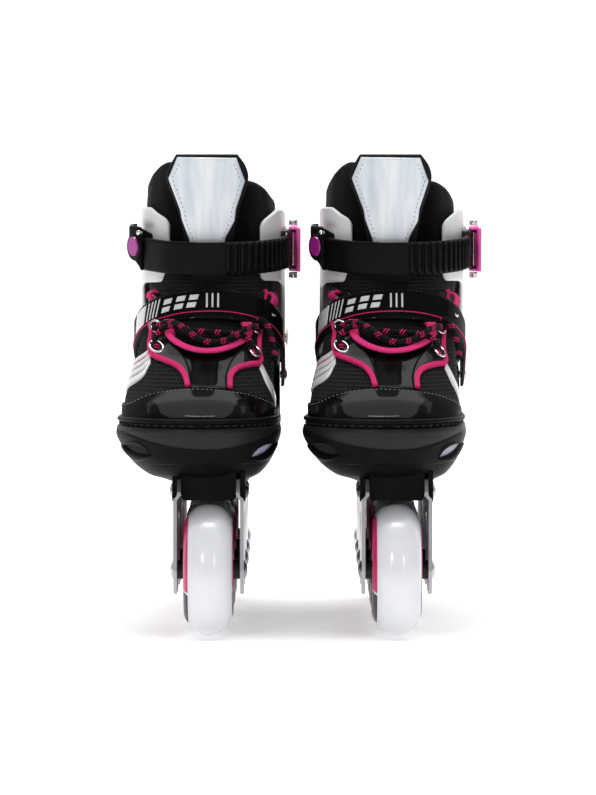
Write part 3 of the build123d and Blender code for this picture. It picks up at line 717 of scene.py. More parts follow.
def sweep(points, ups, profile, scale=None):
    """A closed (across, out) profile carried along points whose outward direction is given."""
    p = np.array(points, float)
    side = unit(np.cross(unit(np.gradient(p, axis=0)), ups))
    run = run_along(p)
    verts, uvs = [], []
    for k in range(len(p)):
        size = 1.0 if scale is None else scale[k]
        for a, h in profile:
            verts.append(p[k] + a * size * side[k] + h * ups[k])
            uvs.append((run[k], a * size))
    return np.array(verts), tube_faces(len(p), len(profile)), np.array(uvs)


def strip(skin, curve, width, lift, thick, count=60, scale=None):
    """A flat strip lying on a skin along a (turn, z) curve."""
    points, ups = skin_line(skin, curve, lift, count)
    return sweep(points, ups, flat_profile(width, thick), scale)


class Band:
    """A strap standing on edge along an (x, y) path, addressed by run s, width w and height h outwards."""

    def __init__(self, path, carry):
        self.line = smooth_path(path, 400)
        self.run = run_along(self.line)
        self.length = self.run[-1]
        self.carry = carry

    def at_x(self, x):
        """The run where the path has this x, for a path that rises in x."""
        low, high = int(np.argmin(self.line[:, 0])), int(np.argmax(self.line[:, 0]))
        return float(np.interp(x, self.line[low:high + 1, 0], self.run[low:high + 1]))

    def point(self, s, w, h):
        x, y = (np.interp(s, self.run, self.line[:, k]) for k in range(2))
        ahead = [np.interp(s + 0.5, self.run, self.line[:, k]) for k in range(2)]
        behind = [np.interp(s - 0.5, self.run, self.line[:, k]) for k in range(2)]
        tx, ty = ahead[0] - behind[0], ahead[1] - behind[1]
        size = math.hypot(tx, ty)
        return self.carry(x + h * ty / size, y - h * tx / size, w)

    def slab(self, s0, s1, w0, w1, h0, h1, columns, rows, slant=0.0, radius=0.0):
        """A closed slab of the band; slant shifts its far edge along the run."""
        top, bottom, uvs = [], [], []
        for t in eased(rows):
            for c in (eased(columns) if radius else np.linspace(0, 1, columns)):
                s = s0 + (s1 - s0) * c + slant * (t - 0.5)
                w = w0 + (w1 - w0) * t
                rise = 1.0
                if radius:
                    rise = rounded(min(min(t, 1 - t) * (w1 - w0), min(c, 1 - c) * (s1 - s0)) / radius)
                top.append(self.point(s, w, h0 + (h1 - h0) * (0.4 + 0.6 * rise)))
                bottom.append(self.point(s, w, h0))
                uvs.append((s, w))
        return closed_grid(top, bottom, rows, columns, uvs)

    def edge_line(self, s0, s1, w, h, count):
        return np.array([self.point(s, w, h) for s in np.linspace(s0, s1, count)])


def tilted(x, y, w):
    """The ladder strap's frame: a slight rearward rise."""
    c, s = math.cos(STRAP_TILT), math.sin(STRAP_TILT)
    return np.array([x, -44 + (y + 44) * c - w * s, STRAP_MID_Z + (y + 44) * s + w * c])


def sloped(x, t, w):
    """The instep strap's frame: its path falls towards the back."""
    c, s = math.cos(INSTEP_FALL), math.sin(INSTEP_FALL)
    return np.array([x, INSTEP_TOP[0] + t * c + w * s, INSTEP_TOP[1] - t * s + w * c])


LADDER = Band([(-33.4, -20.8), (-30.6, -25.6), (-22, -36.6), (-11, -43.0), (0, -45.4), (20, -40),
               (33, -25.5), (37.7, -8), (37.9, 8)], tilted)
INSTEP = Band([(-36.6, 78), (-36.6, 58), (-37.4, 34), (-31, 15), (-17, 3.5), (0, 0), (15, 3), (27.5, 13),
               (34.2, 32), (35.0, 55), (35.0, 78)], sloped)


def blend_step(low, high, value):
    """0 below low and 1 above high, with a smooth rise between."""
    t = min(max((value - low) / (high - low), 0.0), 1.0)
    return t * t * (3 - 2 * t)


# ---- base -----------------------------------------------------------------------------
SMILE_LOW = 91.6             # height of the toe panel's lower edge on the centre line
VENTS = [(-35.6, 90.2, 8.0, 2.8, -12), (26.8, 89.6, 7.4, 2.5, 26)]     # x, z, half length, half height, tilt


def smile(x):
    """The height of the toe panel's lower edge."""
    return SMILE_LOW + (0.0043 if x < 0 else 0.0068) * x * x


def vent_reach(x, z, vent):
    """Below 1 inside a vent's lens, rising outwards."""
    cx, cz, long, high, tilt = vent
    a = math.radians(tilt)
    along = (x - cx) * math.cos(a) + (z - cz) * math.sin(a)
    across = (z - cz) * math.cos(a) - (x - cx) * math.sin(a)
    lens = high * max(1 - (along / long) ** 2, 0.0) + 0.05
    if abs(along) > long:
        return 2.0 + abs(along) - long
    return abs(across) / lens


def bowl_relief(point):
    """How far the moulded base stands out at a point of its toe."""
    x, y, z = point
    if y > -30:
        return 0.0
    panel = blend_step(-0.5, 0.5, z - smile(x)) * blend_step(0.3, 1.0, 101.6 - z)
    relief = -0.55 * panel
    crease = blend_step(-0.4, 0.4, 83.8 - z) * blend_step(0, 8, 27 - abs(x + 2))
    relief -= 0.6 * crease
    seam = math.exp(-((x + 0.6) / 0.35) ** 2)
    relief += 0.16 * seam
    for vent in VENTS:
        reach = vent_reach(x, z, vent)
        relief -= 2.2 * (1 - blend_step(0.75, 1.05, reach))
        relief += 0.7 * math.exp(-((reach - 1.45) / 0.35) ** 2)
    return relief


def base_turns(columns):
    """Turns round the base, closer together at the toe."""
    t = np.linspace(-0.5, 0.5, columns, endpoint=False)
    return t - 0.075 * np.sin(2 * math.pi * t)


def bowl_shape():
    """The moulded bowl from its sole to the stitched lip that holds the boot."""
    lip = [(99.6, 0.1), (100.8, 0.4), (101.7, 0.6), (102.1, 1.2), (102.4, 2.0), (103.1, 2.1), (103.8, 2.0),
           (104.1, 1.2), (104.4, 0.7), (105.0, 0.5), (105.7, 0.6), (106.2, 1.1), (106.4, 2.0), (106.2, 3.0),
           (105.0, 4.4), (101.0, 6.0)]
    turns = base_turns(460)
    points, uvs = [], []
    for z in np.concatenate([[74.0, 74.6, 75.3], np.linspace(76.2, 98.5, 76)]):
        row = []
        for u in turns:
            p = BOWL.at(u, z)
            row.append(BOWL.point(u, z, bowl_relief(p)))
            uvs.append((u * ROUND, z))
        points.append(row)
    for z, d in lip:
        ring = smooth_loop(inset(RIM, d), Skin.COUNT)
        row = []
        for u in turns:
            k = (u % 1.0) * Skin.COUNT
            i = int(k)
            x, y = ring[i] + (ring[(i + 1) % Skin.COUNT] - ring[i]) * (k - i)
            row.append((x, y, z))
            uvs.append((u * ROUND, z))
        points.append(row)
    verts, faces, uv = sheet_grid(points, uvs, closed=True)
    count = len(turns)
    faces.append(tuple(range(count)))
    return verts, faces, uv


def vent_ribs(cx, cz, long, high, tilt):
    """Upright ribs side by side in a vent's lens, set back from the surface."""
    a = math.radians(tilt)
    ribs = []
    for k in range(17):
        along = (k / 8 - 1) * (long - 1.6)
        half = (high - 0.7) * (1 - (along / long) ** 2)
        ends = []
        for sign in (-1, 1):
            x = cx + along * math.cos(a) - sign * half * math.sin(a)
            z = cz + along * math.sin(a) + sign * half * math.cos(a)
            ends.append(BOWL.front(x, z, -1.9))
        ribs.append(tube(np.linspace(ends[0], ends[1], 4), 0.36, 6))
    return join(ribs)


def make_base():
    shape = bowl_shape()
    verts, faces = shape[0], shape[1]

    def material(k):
        x, y, z = verts[list(faces[k])].mean(0)
        inside = y < -30 and smile(x) + 0.1 < z < 101.4
        return 1 if inside and min(vent_reach(x, z, vent) for vent in VENTS) > 1.1 else 0

    add("base_bowl", shape, [BASE, PANEL], "boot", "base_plastic", replaces=("shell",),
        face_material=material)
    groove = smooth_loop(inset(RIM, 1.7), 700)
    line = np.column_stack([groove, np.full(700, 103.1)])
    add("base_stitches", stitches(line, 4.6, 3.0, 0.5), [THREAD_BLACK], "boot", "base_plastic")
    parts = []
    for y0, y1 in ((-106, -50), (50, 106)):
        parts.append(extrusion([(-13.4, 67.5), (-12, 66), (12, 66), (13.4, 67.5), (13.4, 80), (-13.4, 80)],
                               y0, y1, 1))
        for side in (-1, 1):
            lug = [(15.4, 69.3), (15.4, 80), (18, 80), (18, 65.2), (17.3, 65.2), (17.3, 66.7)]
            parts.append(extrusion([(side * x, z) for x, z in lug], y0 + 4, y1 - 4, 1))
    add("base_lugs", join(parts), [BASE], "boot", "base_plastic", modifiers=[bevel(0.5)], smooth=False,
        outward=True)
    for name, vent, paint in zip(("vent_mesh", "vent_lens"), VENTS, (THREAD_BLACK, LILAC)):
        add(name, vent_ribs(*vent), [paint], "boot", "base_plastic")


def height_at(edge, y):
    """The z at this y of an edge given as (y, z) points."""
    return float(np.interp(y, [p[0] for p in edge], [p[1] for p in edge]))


COUNTER_FOOT = 99.0          # the heel cup starts inside the bowl's lip
COUNTER_WALL = 2.6


def make_counter():
    """The heel cup with an ankle ear on each side, rising from the base."""
    wall = Skin([(90, inset(RIM, 0.4)), (160, inset(RIM, 0.4))])
    turns = [u for u in np.linspace(0.12, 0.88, 330) if wall.at(u, 100)[1] > -21.5]
    top, bottom, uvs = [], [], []
    rows = 26
    for i in range(rows):
        for u in turns:
            y = wall.at(u, 100)[1]
            high = height_at(COUNTER_EDGE, y)
            z = COUNTER_FOOT + (high - COUNTER_FOOT) * i / (rows - 1)
            roll = 0.5 * (1 - blend_step(0, 1.6, high - z))
            top.append(wall.point(u, z, -roll))
            bottom.append(wall.point(u, z, roll - COUNTER_WALL))
            uvs.append((u * ROUND, z))
    shape = closed_grid(top, bottom, rows, len(turns), uvs)
    add("heel_cup", shape, [BASE], "boot", "base_plastic", outward=True)
    places = [(u, wall.at(u, 100)[1]) for u in turns]
    edge = [(u, height_at(COUNTER_EDGE, y) - 3.4) for u, y in places if 27 < y < 90]
    sides = [[p for p in edge if p[0] < 0.5], [p for p in edge if p[0] > 0.5]]
    ribs = [strip(wall, side[::6], 1.4, -0.1, 0.7, 70) for side in sides]
    add("heel_cup_ribs", join(ribs), [BASE], "boot", "base_plastic", outward=True)


# ---- soft boot ------------------------------------------------------------------------
TOE_LINE = on_front(BOOT, [(-38.5, 113.5), (-29.1, 117.6), (-15.8, 120.2), (-0.6, 120.4), (17, 118.2),
                           (26.5, 115.0)])
TOE_TOP = [(0.275, 106.5), (0.235, 109.5), (0.2, 111.8), *TOE_LINE, (-0.175, 111.5), (-0.2, 109),
           (-0.235, 106.5)]
PIPING_LEFT = [(-10.2, 120.6), (-12, 125.7), (-15.5, 129.6), (-21.9, 132.4), (-28.3, 135.2), (-29.6, 140),
               (-29.0, 147), (-28.4, 157), (-27.6, 166)]
PIPING_RIGHT = [(9.9, 119.8), (10.2, 125.2), (13.2, 128.6), (18.6, 130.2), (24.2, 131.4), (23.4, 138),
                (24.2, 147), (25.6, 157), (26.4, 166)]
THROAT_LEFT = [(-8.4, 120.6), (-8.9, 126.5), (-10.8, 131.5), (-14.0, 136), (-17.5, 139.8), (-19.4, 143),
               (-20.4, 147), (-21.2, 157), (-21.8, 166)]
THROAT_RIGHT = [(8.2, 119.8), (7.6, 125.5), (9.4, 131), (12.4, 135.4), (15.6, 138.8), (17.0, 142),
                (18.2, 147), (19.6, 157), (20.8, 166)]


BOOT_TURNS = 300
BOOT_OUTER = [(z, 0.0) for z in np.linspace(99, 180, 62)]       # (z, lift) up the outside and over the top
BOOT_OUTER += [(181.2, -0.6), (182, -2.0), (182, -3.6), (181.2, -4.8)]


def boot_shape():
    """The boot: outer surface, rolled top, inner lining and floor, as one closed form."""
    turns = np.linspace(0, 1, BOOT_TURNS, endpoint=False)
    rows, uvs = [], []
    inner = [(z, -5.2) for z in np.linspace(178, 94, 26)]
    for z, lift in BOOT_OUTER + inner:
        rows.append([BOOT.point(u, max(z, 98.8), lift) + (0, 0, min(z - 98.8, 0)) for u in turns])
        uvs += [(u * ROUND, z) for u in turns]
    ring = np.array(rows[-1])
    middle = ring.mean(0)
    for z, size in ((91, 0.94), (90, 0.7), (90, 0.35)):
        row = middle + (ring - middle) * size
        row[:, 2] = z
        rows.append(list(row))
        uvs += [(x, y) for x, y, _ in row]
    verts, faces, uv = sheet_grid(rows, uvs, closed=True)
    last = (len(rows) - 1) * len(turns)
    faces.append(tuple(last + j for j in reversed(range(len(turns)))))
    return verts, faces, uv


def make_boot():
    shape = boot_shape()
    first_inner = len(BOOT_OUTER) * BOOT_TURNS

    def material(k):
        return 1 if k >= first_inner else 0

    add_bending("boot_upper_fabric", shape, [MESH, LINING], "boot_mesh", replaces=("boot_upper",),
                face_material=material)
    low = [(u, 104.4) for u, z in TOE_TOP]
    toe = pad(BOOT, low, TOE_TOP, 150, 26, 0.1, 1.1, radius=1.0)
    add("toe_cap", toe, [PATENT], "boot", "patent_black", outward=True)
    seam = [(u, z - 1.5) for u, z in TOE_TOP]
    points = skin_line(BOOT, seam, 1.25, 500)[0]
    add("toe_cap_stitches", stitches(points, 2.2, 1.3, 0.24), [THREAD], "boot", "patent_black")


def make_throat():
    """Vamp, eyestays, tongue front, pink piping."""
    left, right = on_front(BOOT, THROAT_LEFT), on_front(BOOT, THROAT_RIGHT)
    edges = [[(u + gap, z) for u, z in side[:6]] for side, gap in ((left, 0.006), (right, -0.006))]
    centre = pad(BOOT, *edges, 60, 40, 0.0, 0.5)
    add("vamp", centre, [PATENT], "boot", "patent_black", outward=True)
    stays = []
    for outer, inner in ((PIPING_LEFT, left), (PIPING_RIGHT, right)):
        stays.append(pad(BOOT, on_front(BOOT, outer), inner, 90, 16, 0.1, 1.7, radius=1.4))
    add_bending("eyestays", join(stays), [PATENT_GREY], "patent_black", outward=True)
    pipes, threads = [], []
    for path in (PIPING_LEFT, PIPING_RIGHT):
        curve = on_front(BOOT, path)
        pipes.append(strip(BOOT, curve, 2.7, 0.6, 1.6, 150))
        points = skin_line(BOOT, curve, 2.3, 300)[0]
        threads.append(stitches(points, 1.9, 1.1, 0.2))
    add_bending("piping", join(pipes), [PIPING], "patent_black", outward=True)
    add_bending("piping_stitches", join(threads), [WEBBING], "patent_black")
    low_left = on_front(BOOT, [(-17.5, 141), (-19, 147), (-16, 158), (-14.5, 170)])
    low_right = on_front(BOOT, [(15, 141), (16, 147), (13, 158), (12, 170)])
    tongue = pad(BOOT, low_left, low_right, 50, 40, -0.2, 2.2, radius=5.0)
    add_bending("tongue_front", tongue, [MESH_FINE], "collar_fabric", outward=True)


def fan(low, high, bands, lift, thick):
    """Strips of the area between two curves; bands are (start share, end share)."""
    a, b = np.array(low), np.array(high)
    parts = []
    for start, end in bands:
        parts.append(pad(BOOT, a + (b - a) * start, a + (b - a) * end, 60, 8, lift, thick, radius=0.4))
    return join(parts)


def make_stripes():
    low = on_front(BOOT, [(-29.4, 131.2), (-36.0, 122.5)]) + [(0.235, 113.0), (0.285, 106.4)]
    high = on_front(BOOT, [(-29.4, 141.4), (-33.4, 135.5)]) + [(0.262, 124.0), (0.335, 107.0)]
    white = fan(low, high, [(0, 0.27), (0.34, 0.52), (0.58, 0.76), (0.82, 1.0)], 0.1, 0.7)
    add("side_stripes_left", white, [PATENT_WHITE], "boot", "patent_black", outward=True)
    red = fan(low, high, [(0.775, 0.805)], 0.1, 0.6)
    add("side_line_left", red, [RED], "boot", "patent_black", outward=True)
    low = on_front(BOOT, [(24.4, 128.6), (28.9, 119.5)]) + [(-0.225, 108.0)]
    high = on_front(BOOT, [(24.6, 132.2), (29.6, 122.5)]) + [(-0.24, 109.0)]
    white = fan(low, high, [(0, 1)], 0.1, 0.7)
    add("side_stripe_right", white, [PATENT_WHITE], "boot", "patent_black", outward=True)


def lifted_line(points, count):
    """A smooth line through (x, z, lift) points over the front of the boot."""
    path = smooth_path(points, count)
    return np.array([BOOT.front(x, z, lift) for x, z, lift in path])


LACE_RADIUS = 1.55
WIRE_RADIUS = 0.62
LACE_RUNS = [                # x, z, lift off the boot
    [(-25.5, 137.5, 1.0), (-25.6, 140.5, 4.2), (-21.5, 144.4, 5.6), (-16.6, 145.6, 5.4), (-8, 143.9, 4.6),
     (3, 143.2, 4.4), (11, 142.2, 4.6), (16.4, 140.0, 4.8), (19.3, 136.8, 4.2), (20.4, 134.6, 2.2),
     (21.6, 136.6, 0.4)],
    [(-27.0, 147.8, 0.4), (-26.0, 146.0, 3.8), (-20.5, 147.6, 5.2), (-15, 145.2, 7.6), (-9.5, 141.4, 7.0),
     (-4, 139.0, 5.0), (3, 138.6, 4.2), (9.5, 139.8, 5.6), (15, 142.8, 7.8), (19.6, 145.6, 5.6),
     (22.4, 148.4, 1.0)],
    [(19.8, 150.5, 2.4), (22.6, 149.5, 5.2), (25.0, 145.4, 5.8), (26.8, 139.8, 5.6), (28.2, 134.6, 5.0),
     (28.6, 131.4, 4.2)],
]


RINGS = [(-25.6, 137.6, 24, 1.0), (-25.6, 147.4, 28, 0.9), (20.8, 135.6, -52, 1.15), (21.6, 146.6, -40, 0.95),
         (27.4, 155.6, -60, 1.0), (-27.2, 161.8, 40, 0.9)]                     # x, z, turn, size
LOOPS = [(-19.4, 147.2, 5.4, 3.4), (16.4, 145.6, 5.6, 3.6), (27.2, 160.4, 6.0, 4.2),
         (-26.6, 163.2, 6.0, 1.8)]                                             # x, z, width, half height


def axes_at(x, z):
    """The outward normal on the front of the boot, and the level direction across it."""
    normal = BOOT.normal(BOOT.turn(x, z), z)
    return normal, unit(np.cross(normal, (0, 0, 1.0)))


def lace_ring(x, z, turn, size):
    """A wire ring lying tilted on the boot."""
    centre = BOOT.front(x, z, 2.7)
    n, across = axes_at(x, z)
    up = np.cross(across, n)
    a = math.radians(turn)
    one = across * math.cos(a) + up * math.sin(a)
    two = up * math.cos(a) - across * math.sin(a)
    loop = []
    for k in range(40):
        w = 2 * math.pi * k / 40
        ring = size * (4.6 * math.cos(w) * one + 2.7 * math.sin(w) * two)
        loop.append(centre + ring + 1.2 * math.cos(w) * n)
    return tube(loop, WIRE_RADIUS, 10, closed=True)


def webbing_loop(x, z, width, drop):
    """A strip of webbing that stands off the boot in an arch from top to bottom."""
    angles = [math.pi * k / 23 for k in range(24)]
    points = np.array([BOOT.front(x, z + drop * math.cos(w), 1.2 + 3.6 * math.sin(w)) for w in angles])
    ups = unit(np.cross(axes_at(x, z)[1], np.gradient(points, axis=0)))
    return sweep(points, ups, flat_profile(width, 0.9))


def make_laces():
    laces = [tube(lifted_line(run, 120), LACE_RADIUS, 12) for run in LACE_RUNS]
    add("lace_runs", join(laces), [LACE], "boot", "lace_cord", replaces=("laces",))
    points = lifted_line([(-20.4, 144.6, 3.0), (-18.2, 141.0, 3.2), (-12.5, 137.6, 3.0), (-5, 135.6, 2.9),
                          (3, 135.7, 2.9), (10, 137.6, 3.0), (15.5, 140.6, 3.2), (18.2, 144.0, 3.2)], 90)
    ups = np.array([axes_at(x, z)[0] for x, _, z in points])
    add("tape", sweep(points, ups, flat_profile(3.1, 1.0)), [TAPE], "boot", "lace_cord", outward=True)
    rings = [lace_ring(*ring) for ring in RINGS]
    add("lace_rings", join(rings), [CHROME], "boot", "ring_metal", replaces=("eyelets",))
    loops = [webbing_loop(*loop) for loop in LOOPS]
    add("webbing_loops", join(loops), [WEBBING], "boot", "patent_black", outward=True)


def make_instep_strap():
    body = INSTEP.slab(0.5, INSTEP.length - 0.5, -8.5, 8.5, 0.0, 1.8, 220, 14, radius=0.9)
    add("instep_strap_body", body, [PATENT], "boot", "patent_black", replaces=("instep_strap",),
        outward=True)
    cord = tube(INSTEP.edge_line(6, INSTEP.length - 6, -4.4, 1.85, 260), 0.42, 8, flat=0.7)
    add("instep_piping", cord, [PIPING], "boot", "patent_black")
    marks = [INSTEP.slab(INSTEP.at_x(-36.0), INSTEP.at_x(-31.6), -3.2, 6.6, 1.7, 2.0, 12, 10, 2.4)]
    for x in (-30.4, -28.9, -27.4, -25.7):
        s = INSTEP.at_x(x)
        marks.append(INSTEP.slab(s, s + 0.75, -2.8, 6.4, 1.7, 2.0, 3, 8, 2.4))
    for x in (-23.4, -17.4, -11.4):
        s = INSTEP.at_x(x)
        marks.append(INSTEP.slab(s, s + 4.4, -1.8, 0.9, 1.7, 2.0, 8, 5, 0.8))
        marks.append(INSTEP.slab(s + 1.2, s + 5.6, 2.4, 5.1, 1.7, 2.0, 8, 5, 0.8))
    for x in (-2.2, 0.5, 3.2):
        s = INSTEP.at_x(x)
        marks.append(INSTEP.slab(s, s + 0.9, -2.2, 5.6, 1.7, 2.0, 3, 8, 0.0))
    add("instep_marks", join(marks), [PATENT_WHITE], "boot", "patent_black", outward=True)
    rows = [INSTEP.edge_line(3, INSTEP.length - 3, w, 1.75, 900) for w in (7.3, -7.3)]
    threads = [stitches(row, 2.4, 1.5, 0.2) for row in rows]
    add("instep_stitches", join(threads), [THREAD_BLACK], "boot", "patent_black")


# ---- collar and tongue ----------------------------------------------------------------
COLLAR_TOP = [(0.040, 228.6), (0.060, 230.4), (0.095, 232.0), (0.125, 231.4), (0.165, 228), (0.22, 222),
              (0.32, 216.5), (0.42, 219.5), (0.5, 226.0), (0.58, 218.0), (0.68, 212.0), (0.79, 215.0),
              (0.84, 219.0), (0.885, 221.6), (0.925, 222.4), (0.955, 221.8)]
COLLAR_THICK = 8.0


def collar_shape():
    """The padded collar: one rounded cross-section carried round the ankle, with closed ends."""
    turns = COLLAR_TOP[0][0] + (COLLAR_TOP[-1][0] - COLLAR_TOP[0][0]) * np.linspace(0, 1, 190)
    tops = smooth_path([(u * ROUND, z) for u, z in COLLAR_TOP], 600)
    verts, uvs = [], []
    low, reach = 163.0, COLLAR_THICK / 2
    for k, u in enumerate(turns):
        high = float(np.interp(u * ROUND, tops[:, 0], tops[:, 1]))
        ends = min(k, len(turns) - 1 - k) / 7.0
        plump = rounded(ends) * 0.9 + 0.1
        top = high - (1 - plump) * 5
        section = []
        for z in np.linspace(low, top - reach, 20):
            swell = 0.7 * math.sin(math.pi * (z - low) / (top - low)) + 0.5 * blend_step(-9, -2, z - top)
            section.append((z, swell))
        for step in range(1, 9):
            w = math.pi * step / 9
            section.append((top - reach + reach * math.sin(w), 0.5 - reach + reach * math.cos(w)))
        for z in np.linspace(top - reach, low + 2, 14):
            section.append((z, -COLLAR_THICK))
        for z, lift in section:
            centred = -COLLAR_THICK / 2 + (lift + COLLAR_THICK / 2) * plump
            verts.append(COLLAR.point(u, min(z, 236), centred))
            uvs.append((u * ROUND, z + (0 if lift > -4 else 60)))
    return np.array(verts), tube_faces(len(turns), len(verts) // len(turns)), np.array(uvs)


def make_collar():
    add("collar_pad", collar_shape(), [MESH_FINE], "cuff_body", "collar_fabric", replaces=("collar",),
        outward=True)


TONGUE_LEFT = [(-9, 160), (-10, 175), (-13, 192), (-16.6, 207), (-22.4, 222.5), (-20.8, 229), (-17.4, 235.2)]
TONGUE_RIGHT = [(8, 160), (9, 175), (11, 192), (14, 207), (18.6, 221.5), (17.6, 229), (13.4, 235.2)]
PANEL_LEFT = [(-9.0, 184), (-11.2, 193.2), (-14.6, 202.3), (-15.4, 207.1), (-21.4, 223.0), (-16.8, 233.8)]
PANEL_RIGHT = [(5.4, 184), (7.6, 193.5), (11.9, 201.7), (12.6, 207.7), (17.2, 221.7), (12.9, 233.4)]


def tongue_at(x, z, lift):
    """The tongue's curved face: crowned across, leaning forwards towards its top."""
    y = -35.2 - (z - 166) * math.tan(math.radians(6)) + 0.012 * (x + 1.5) ** 2 - lift
    return np.array([x, y, z])


def straight_path(points, count):
    """Points along the straight runs between the given ones."""
    want, knots = np.linspace(0, 1, count), np.linspace(0, 1, len(points))
    return np.column_stack([np.interp(want, knots, [p[k] for p in points]) for k in (0, 1)])


def tongue_pad(left, right, rows, columns, back, thick, radius, path=smooth_path):
    """A closed pad on the tongue's face between two (x, z) edges of rising z."""
    samples = 240
    a, b = path(left, samples), path(right, samples)
    top, bottom, uvs = [], [], []
    for c in eased(columns):
        k = min(int(c * (samples - 1)), samples - 1)
        for t in eased(rows)[::-1]:
            x, z = a[k] + (b[k] - a[k]) * t
            rise = rounded(min(min(t, 1 - t) * (b[k][0] - a[k][0]), min(c, 1 - c) * 70) / radius)
            top.append(tongue_at(x, z, back + thick * rise))
            bottom.append(tongue_at(x, z, back - 0.3 - (6.0 if back < 0 else 0) * rise))
            uvs.append((x, z))
    return closed_grid(top, bottom, columns, rows, uvs)


def make_tongue():
    body = tongue_pad(TONGUE_LEFT, TONGUE_RIGHT, 40, 70, -1.6, 2.0, 4.0)
    add("tongue_body", body, [LINING], "cuff_body", "collar_fabric", replaces=("tongue",), outward=True)
    panel = tongue_pad(PANEL_LEFT, PANEL_RIGHT, 40, 80, 0.2, 1.3, 1.6, path=straight_path)
    # The panel's colour carries painted highlight streaks.
    add("tongue_panel", panel, [TONGUE_PAINTED_GLOSS], "cuff_body", "tongue_panel", outward=True)
    threads = []
    for edge, shift in ((PANEL_LEFT, 2.0), (PANEL_RIGHT, -2.0)):
        inner = [(x + shift, z) for x, z in edge]
        inner[-1] = (inner[-1][0], inner[-1][1] - 1.4)
        line = []
        for (xa, za), (xb, zb) in zip(inner, inner[1:]):
            for f in np.linspace(0, 1, 30)[:-1]:
                line.append(tongue_at(xa + (xb - xa) * f, za + (zb - za) * f, 1.5))
        threads.append(stitches(line, 2.3, 1.2, 0.22))
    add("tongue_stitches", join(threads), [THREAD], "cuff_body", "tongue_panel")


# ---- cuff and straps ------------------------------------------------------------------
CUFF_CORNER = 3.6            # radius of the wings' corners
TEETH = 13
TOOTH_PITCH = 3.7


def make_cuff():
    """The moulded cuff, from one wing's front edge round the heel to the other's."""
    first, last = CUFF.turn(-21.3, 180), 1 + CUFF.turn(25.2, 180)
    turns = first + (last - first) * eased(260)
    rows = 30
    run = np.array([CUFF.at(u, 180)[:2] for u in turns])
    reach = run_along(run)
    top, bottom, uvs = [], [], []
    for t in eased(rows):
        for k, u in enumerate(turns):
            x, y = run[k]
            low = height_at(CUFF_LOW, y) + (0.0 if x < 0 else 0.8)
            high = height_at(CUFF_HIGH, y) - (0.0 if x < 0 else 1.2)
            near = min(reach[k], reach[-1] - reach[k])
            corner = CUFF_CORNER * (1 - rounded(near / CUFF_CORNER))
            slope = 6.0 * max(0.0, 1 - near / 15)
            low, high = low + corner, high - corner - slope
            z = low + (high - low) * t
            rise = rounded(min(min(z - low, high - z), near) / 1.1)
            dent = 0.0
            if x < -25:
                dent = 0.9 * math.exp(-(z - 199 + 0.2 * (x + 32)) ** 2) * blend_step(0, 3, near - 9)
                dent *= blend_step(0, 4, 21 - near)
            top.append(CUFF.point(u, z, -1.1 + 1.1 * rise - dent))
            bottom.append(CUFF.point(u, z, -1.2 - 1.1 * rise))
            uvs.append((u * ROUND, z))
    shape = closed_grid(top, bottom, rows, len(turns), uvs)
    add("cuff_shell", shape, [CUFF_WHITE], "cuff_body", "cuff_white", replaces=("cuff",), outward=True)


def make_ladder():
    """The ladder strap with a plain half and a toothed half."""
    parts = [LADDER.slab(0.4, LADDER.length - 0.4, -8.3, 8.3, 0.0, 1.25, 200, 16, radius=0.8)]
    start = LADDER.at_x(7.0)
    for k in range(TEETH):
        parts.append(tooth(start + k * TOOTH_PITCH, TOOTH_PITCH))
    add("ladder_strap_body", join(parts), [STRAP_BLACK], "strap_body", "strap_black",
        replaces=("ladder_strap",), outward=True)


def tooth(s, pitch):
    """One sawtooth rib across the strap, with pointed ends."""
    profile = [(0.0, 1.1), (0.55, 2.2), (1.1, 2.3), (pitch - 0.5, 1.4), (pitch - 0.5, 1.1)]
    verts, uvs = [], []
    widths = [-8.0, -6.6, -3, 0, 3, 6.6, 8.0]
    for w in widths:
        tip = abs(w) > 7
        for a, h in profile:
            shift = 1.1 if tip else 0.0
            verts.append(LADDER.point(s + shift + a * (0.45 if tip else 1.0), w, 1.2 if tip else h))
            uvs.append((s + a, w))
    return np.array(verts), tube_faces(len(widths), len(profile)), np.array(uvs)


def blade(outline, low, high):
    """A flat (x, y) outline in the strap's frame between two widths."""
    verts, faces, uvs = extrusion(outline, low, high, 2)
    return np.array([tilted(x, y, w) for x, y, w in verts]), faces, uvs


def on_tab(along, out):
    """A point in plan from the middle of the tab's slanted face: along it to the back, and outwards."""
    nx, ny = TAB_OUTWARD
    return TAB_FACE[0] + along * ny + out * nx, TAB_FACE[1] - along * nx + out * ny


def tab_shell():
    """A rounded wall round the corner of the cuff, higher at its back than where the strap leaves."""
    path = [on_tab(-4.5, -11.0), on_tab(-4.5, -7.0), on_tab(-4.5, -2.0), on_tab(-3.6, -0.3), on_tab(0, 0),
            on_tab(4.4, 0), (-41.9, -11.5), (-41.9, -6.0), (-40.9, -4.0), (-38.0, -3.6)]
    outer = smooth_path(path, 90)
    tangent = unit(np.gradient(outer, axis=0))
    inner = outer + 2.8 * np.stack([tangent[:, 1], -tangent[:, 0]], 1)
    top, bottom, uvs = [], [], []
    for t in eased(26):
        for k, (x, _) in enumerate(outer):
            high = 8.6 + 5.0 * blend_step(-26, -37.5, x)
            low = -8.6 + 5.6 * blend_step(-34.5, -41.5, x)
            near = min(k, len(outer) - 1 - k) * 0.42
            w = low + (high - low) * t
            rise = rounded(max(min(w - low, high - w, near), 0.0) / 1.6)
            middle = (outer[k] + inner[k]) / 2
            top.append(tilted(*(middle + (outer[k] - middle) * rise), w))
            bottom.append(tilted(*(middle + (inner[k] - middle) * rise), w))
            uvs.append((k * 0.4, w))
    return closed_grid(top, bottom, 26, len(outer), uvs)


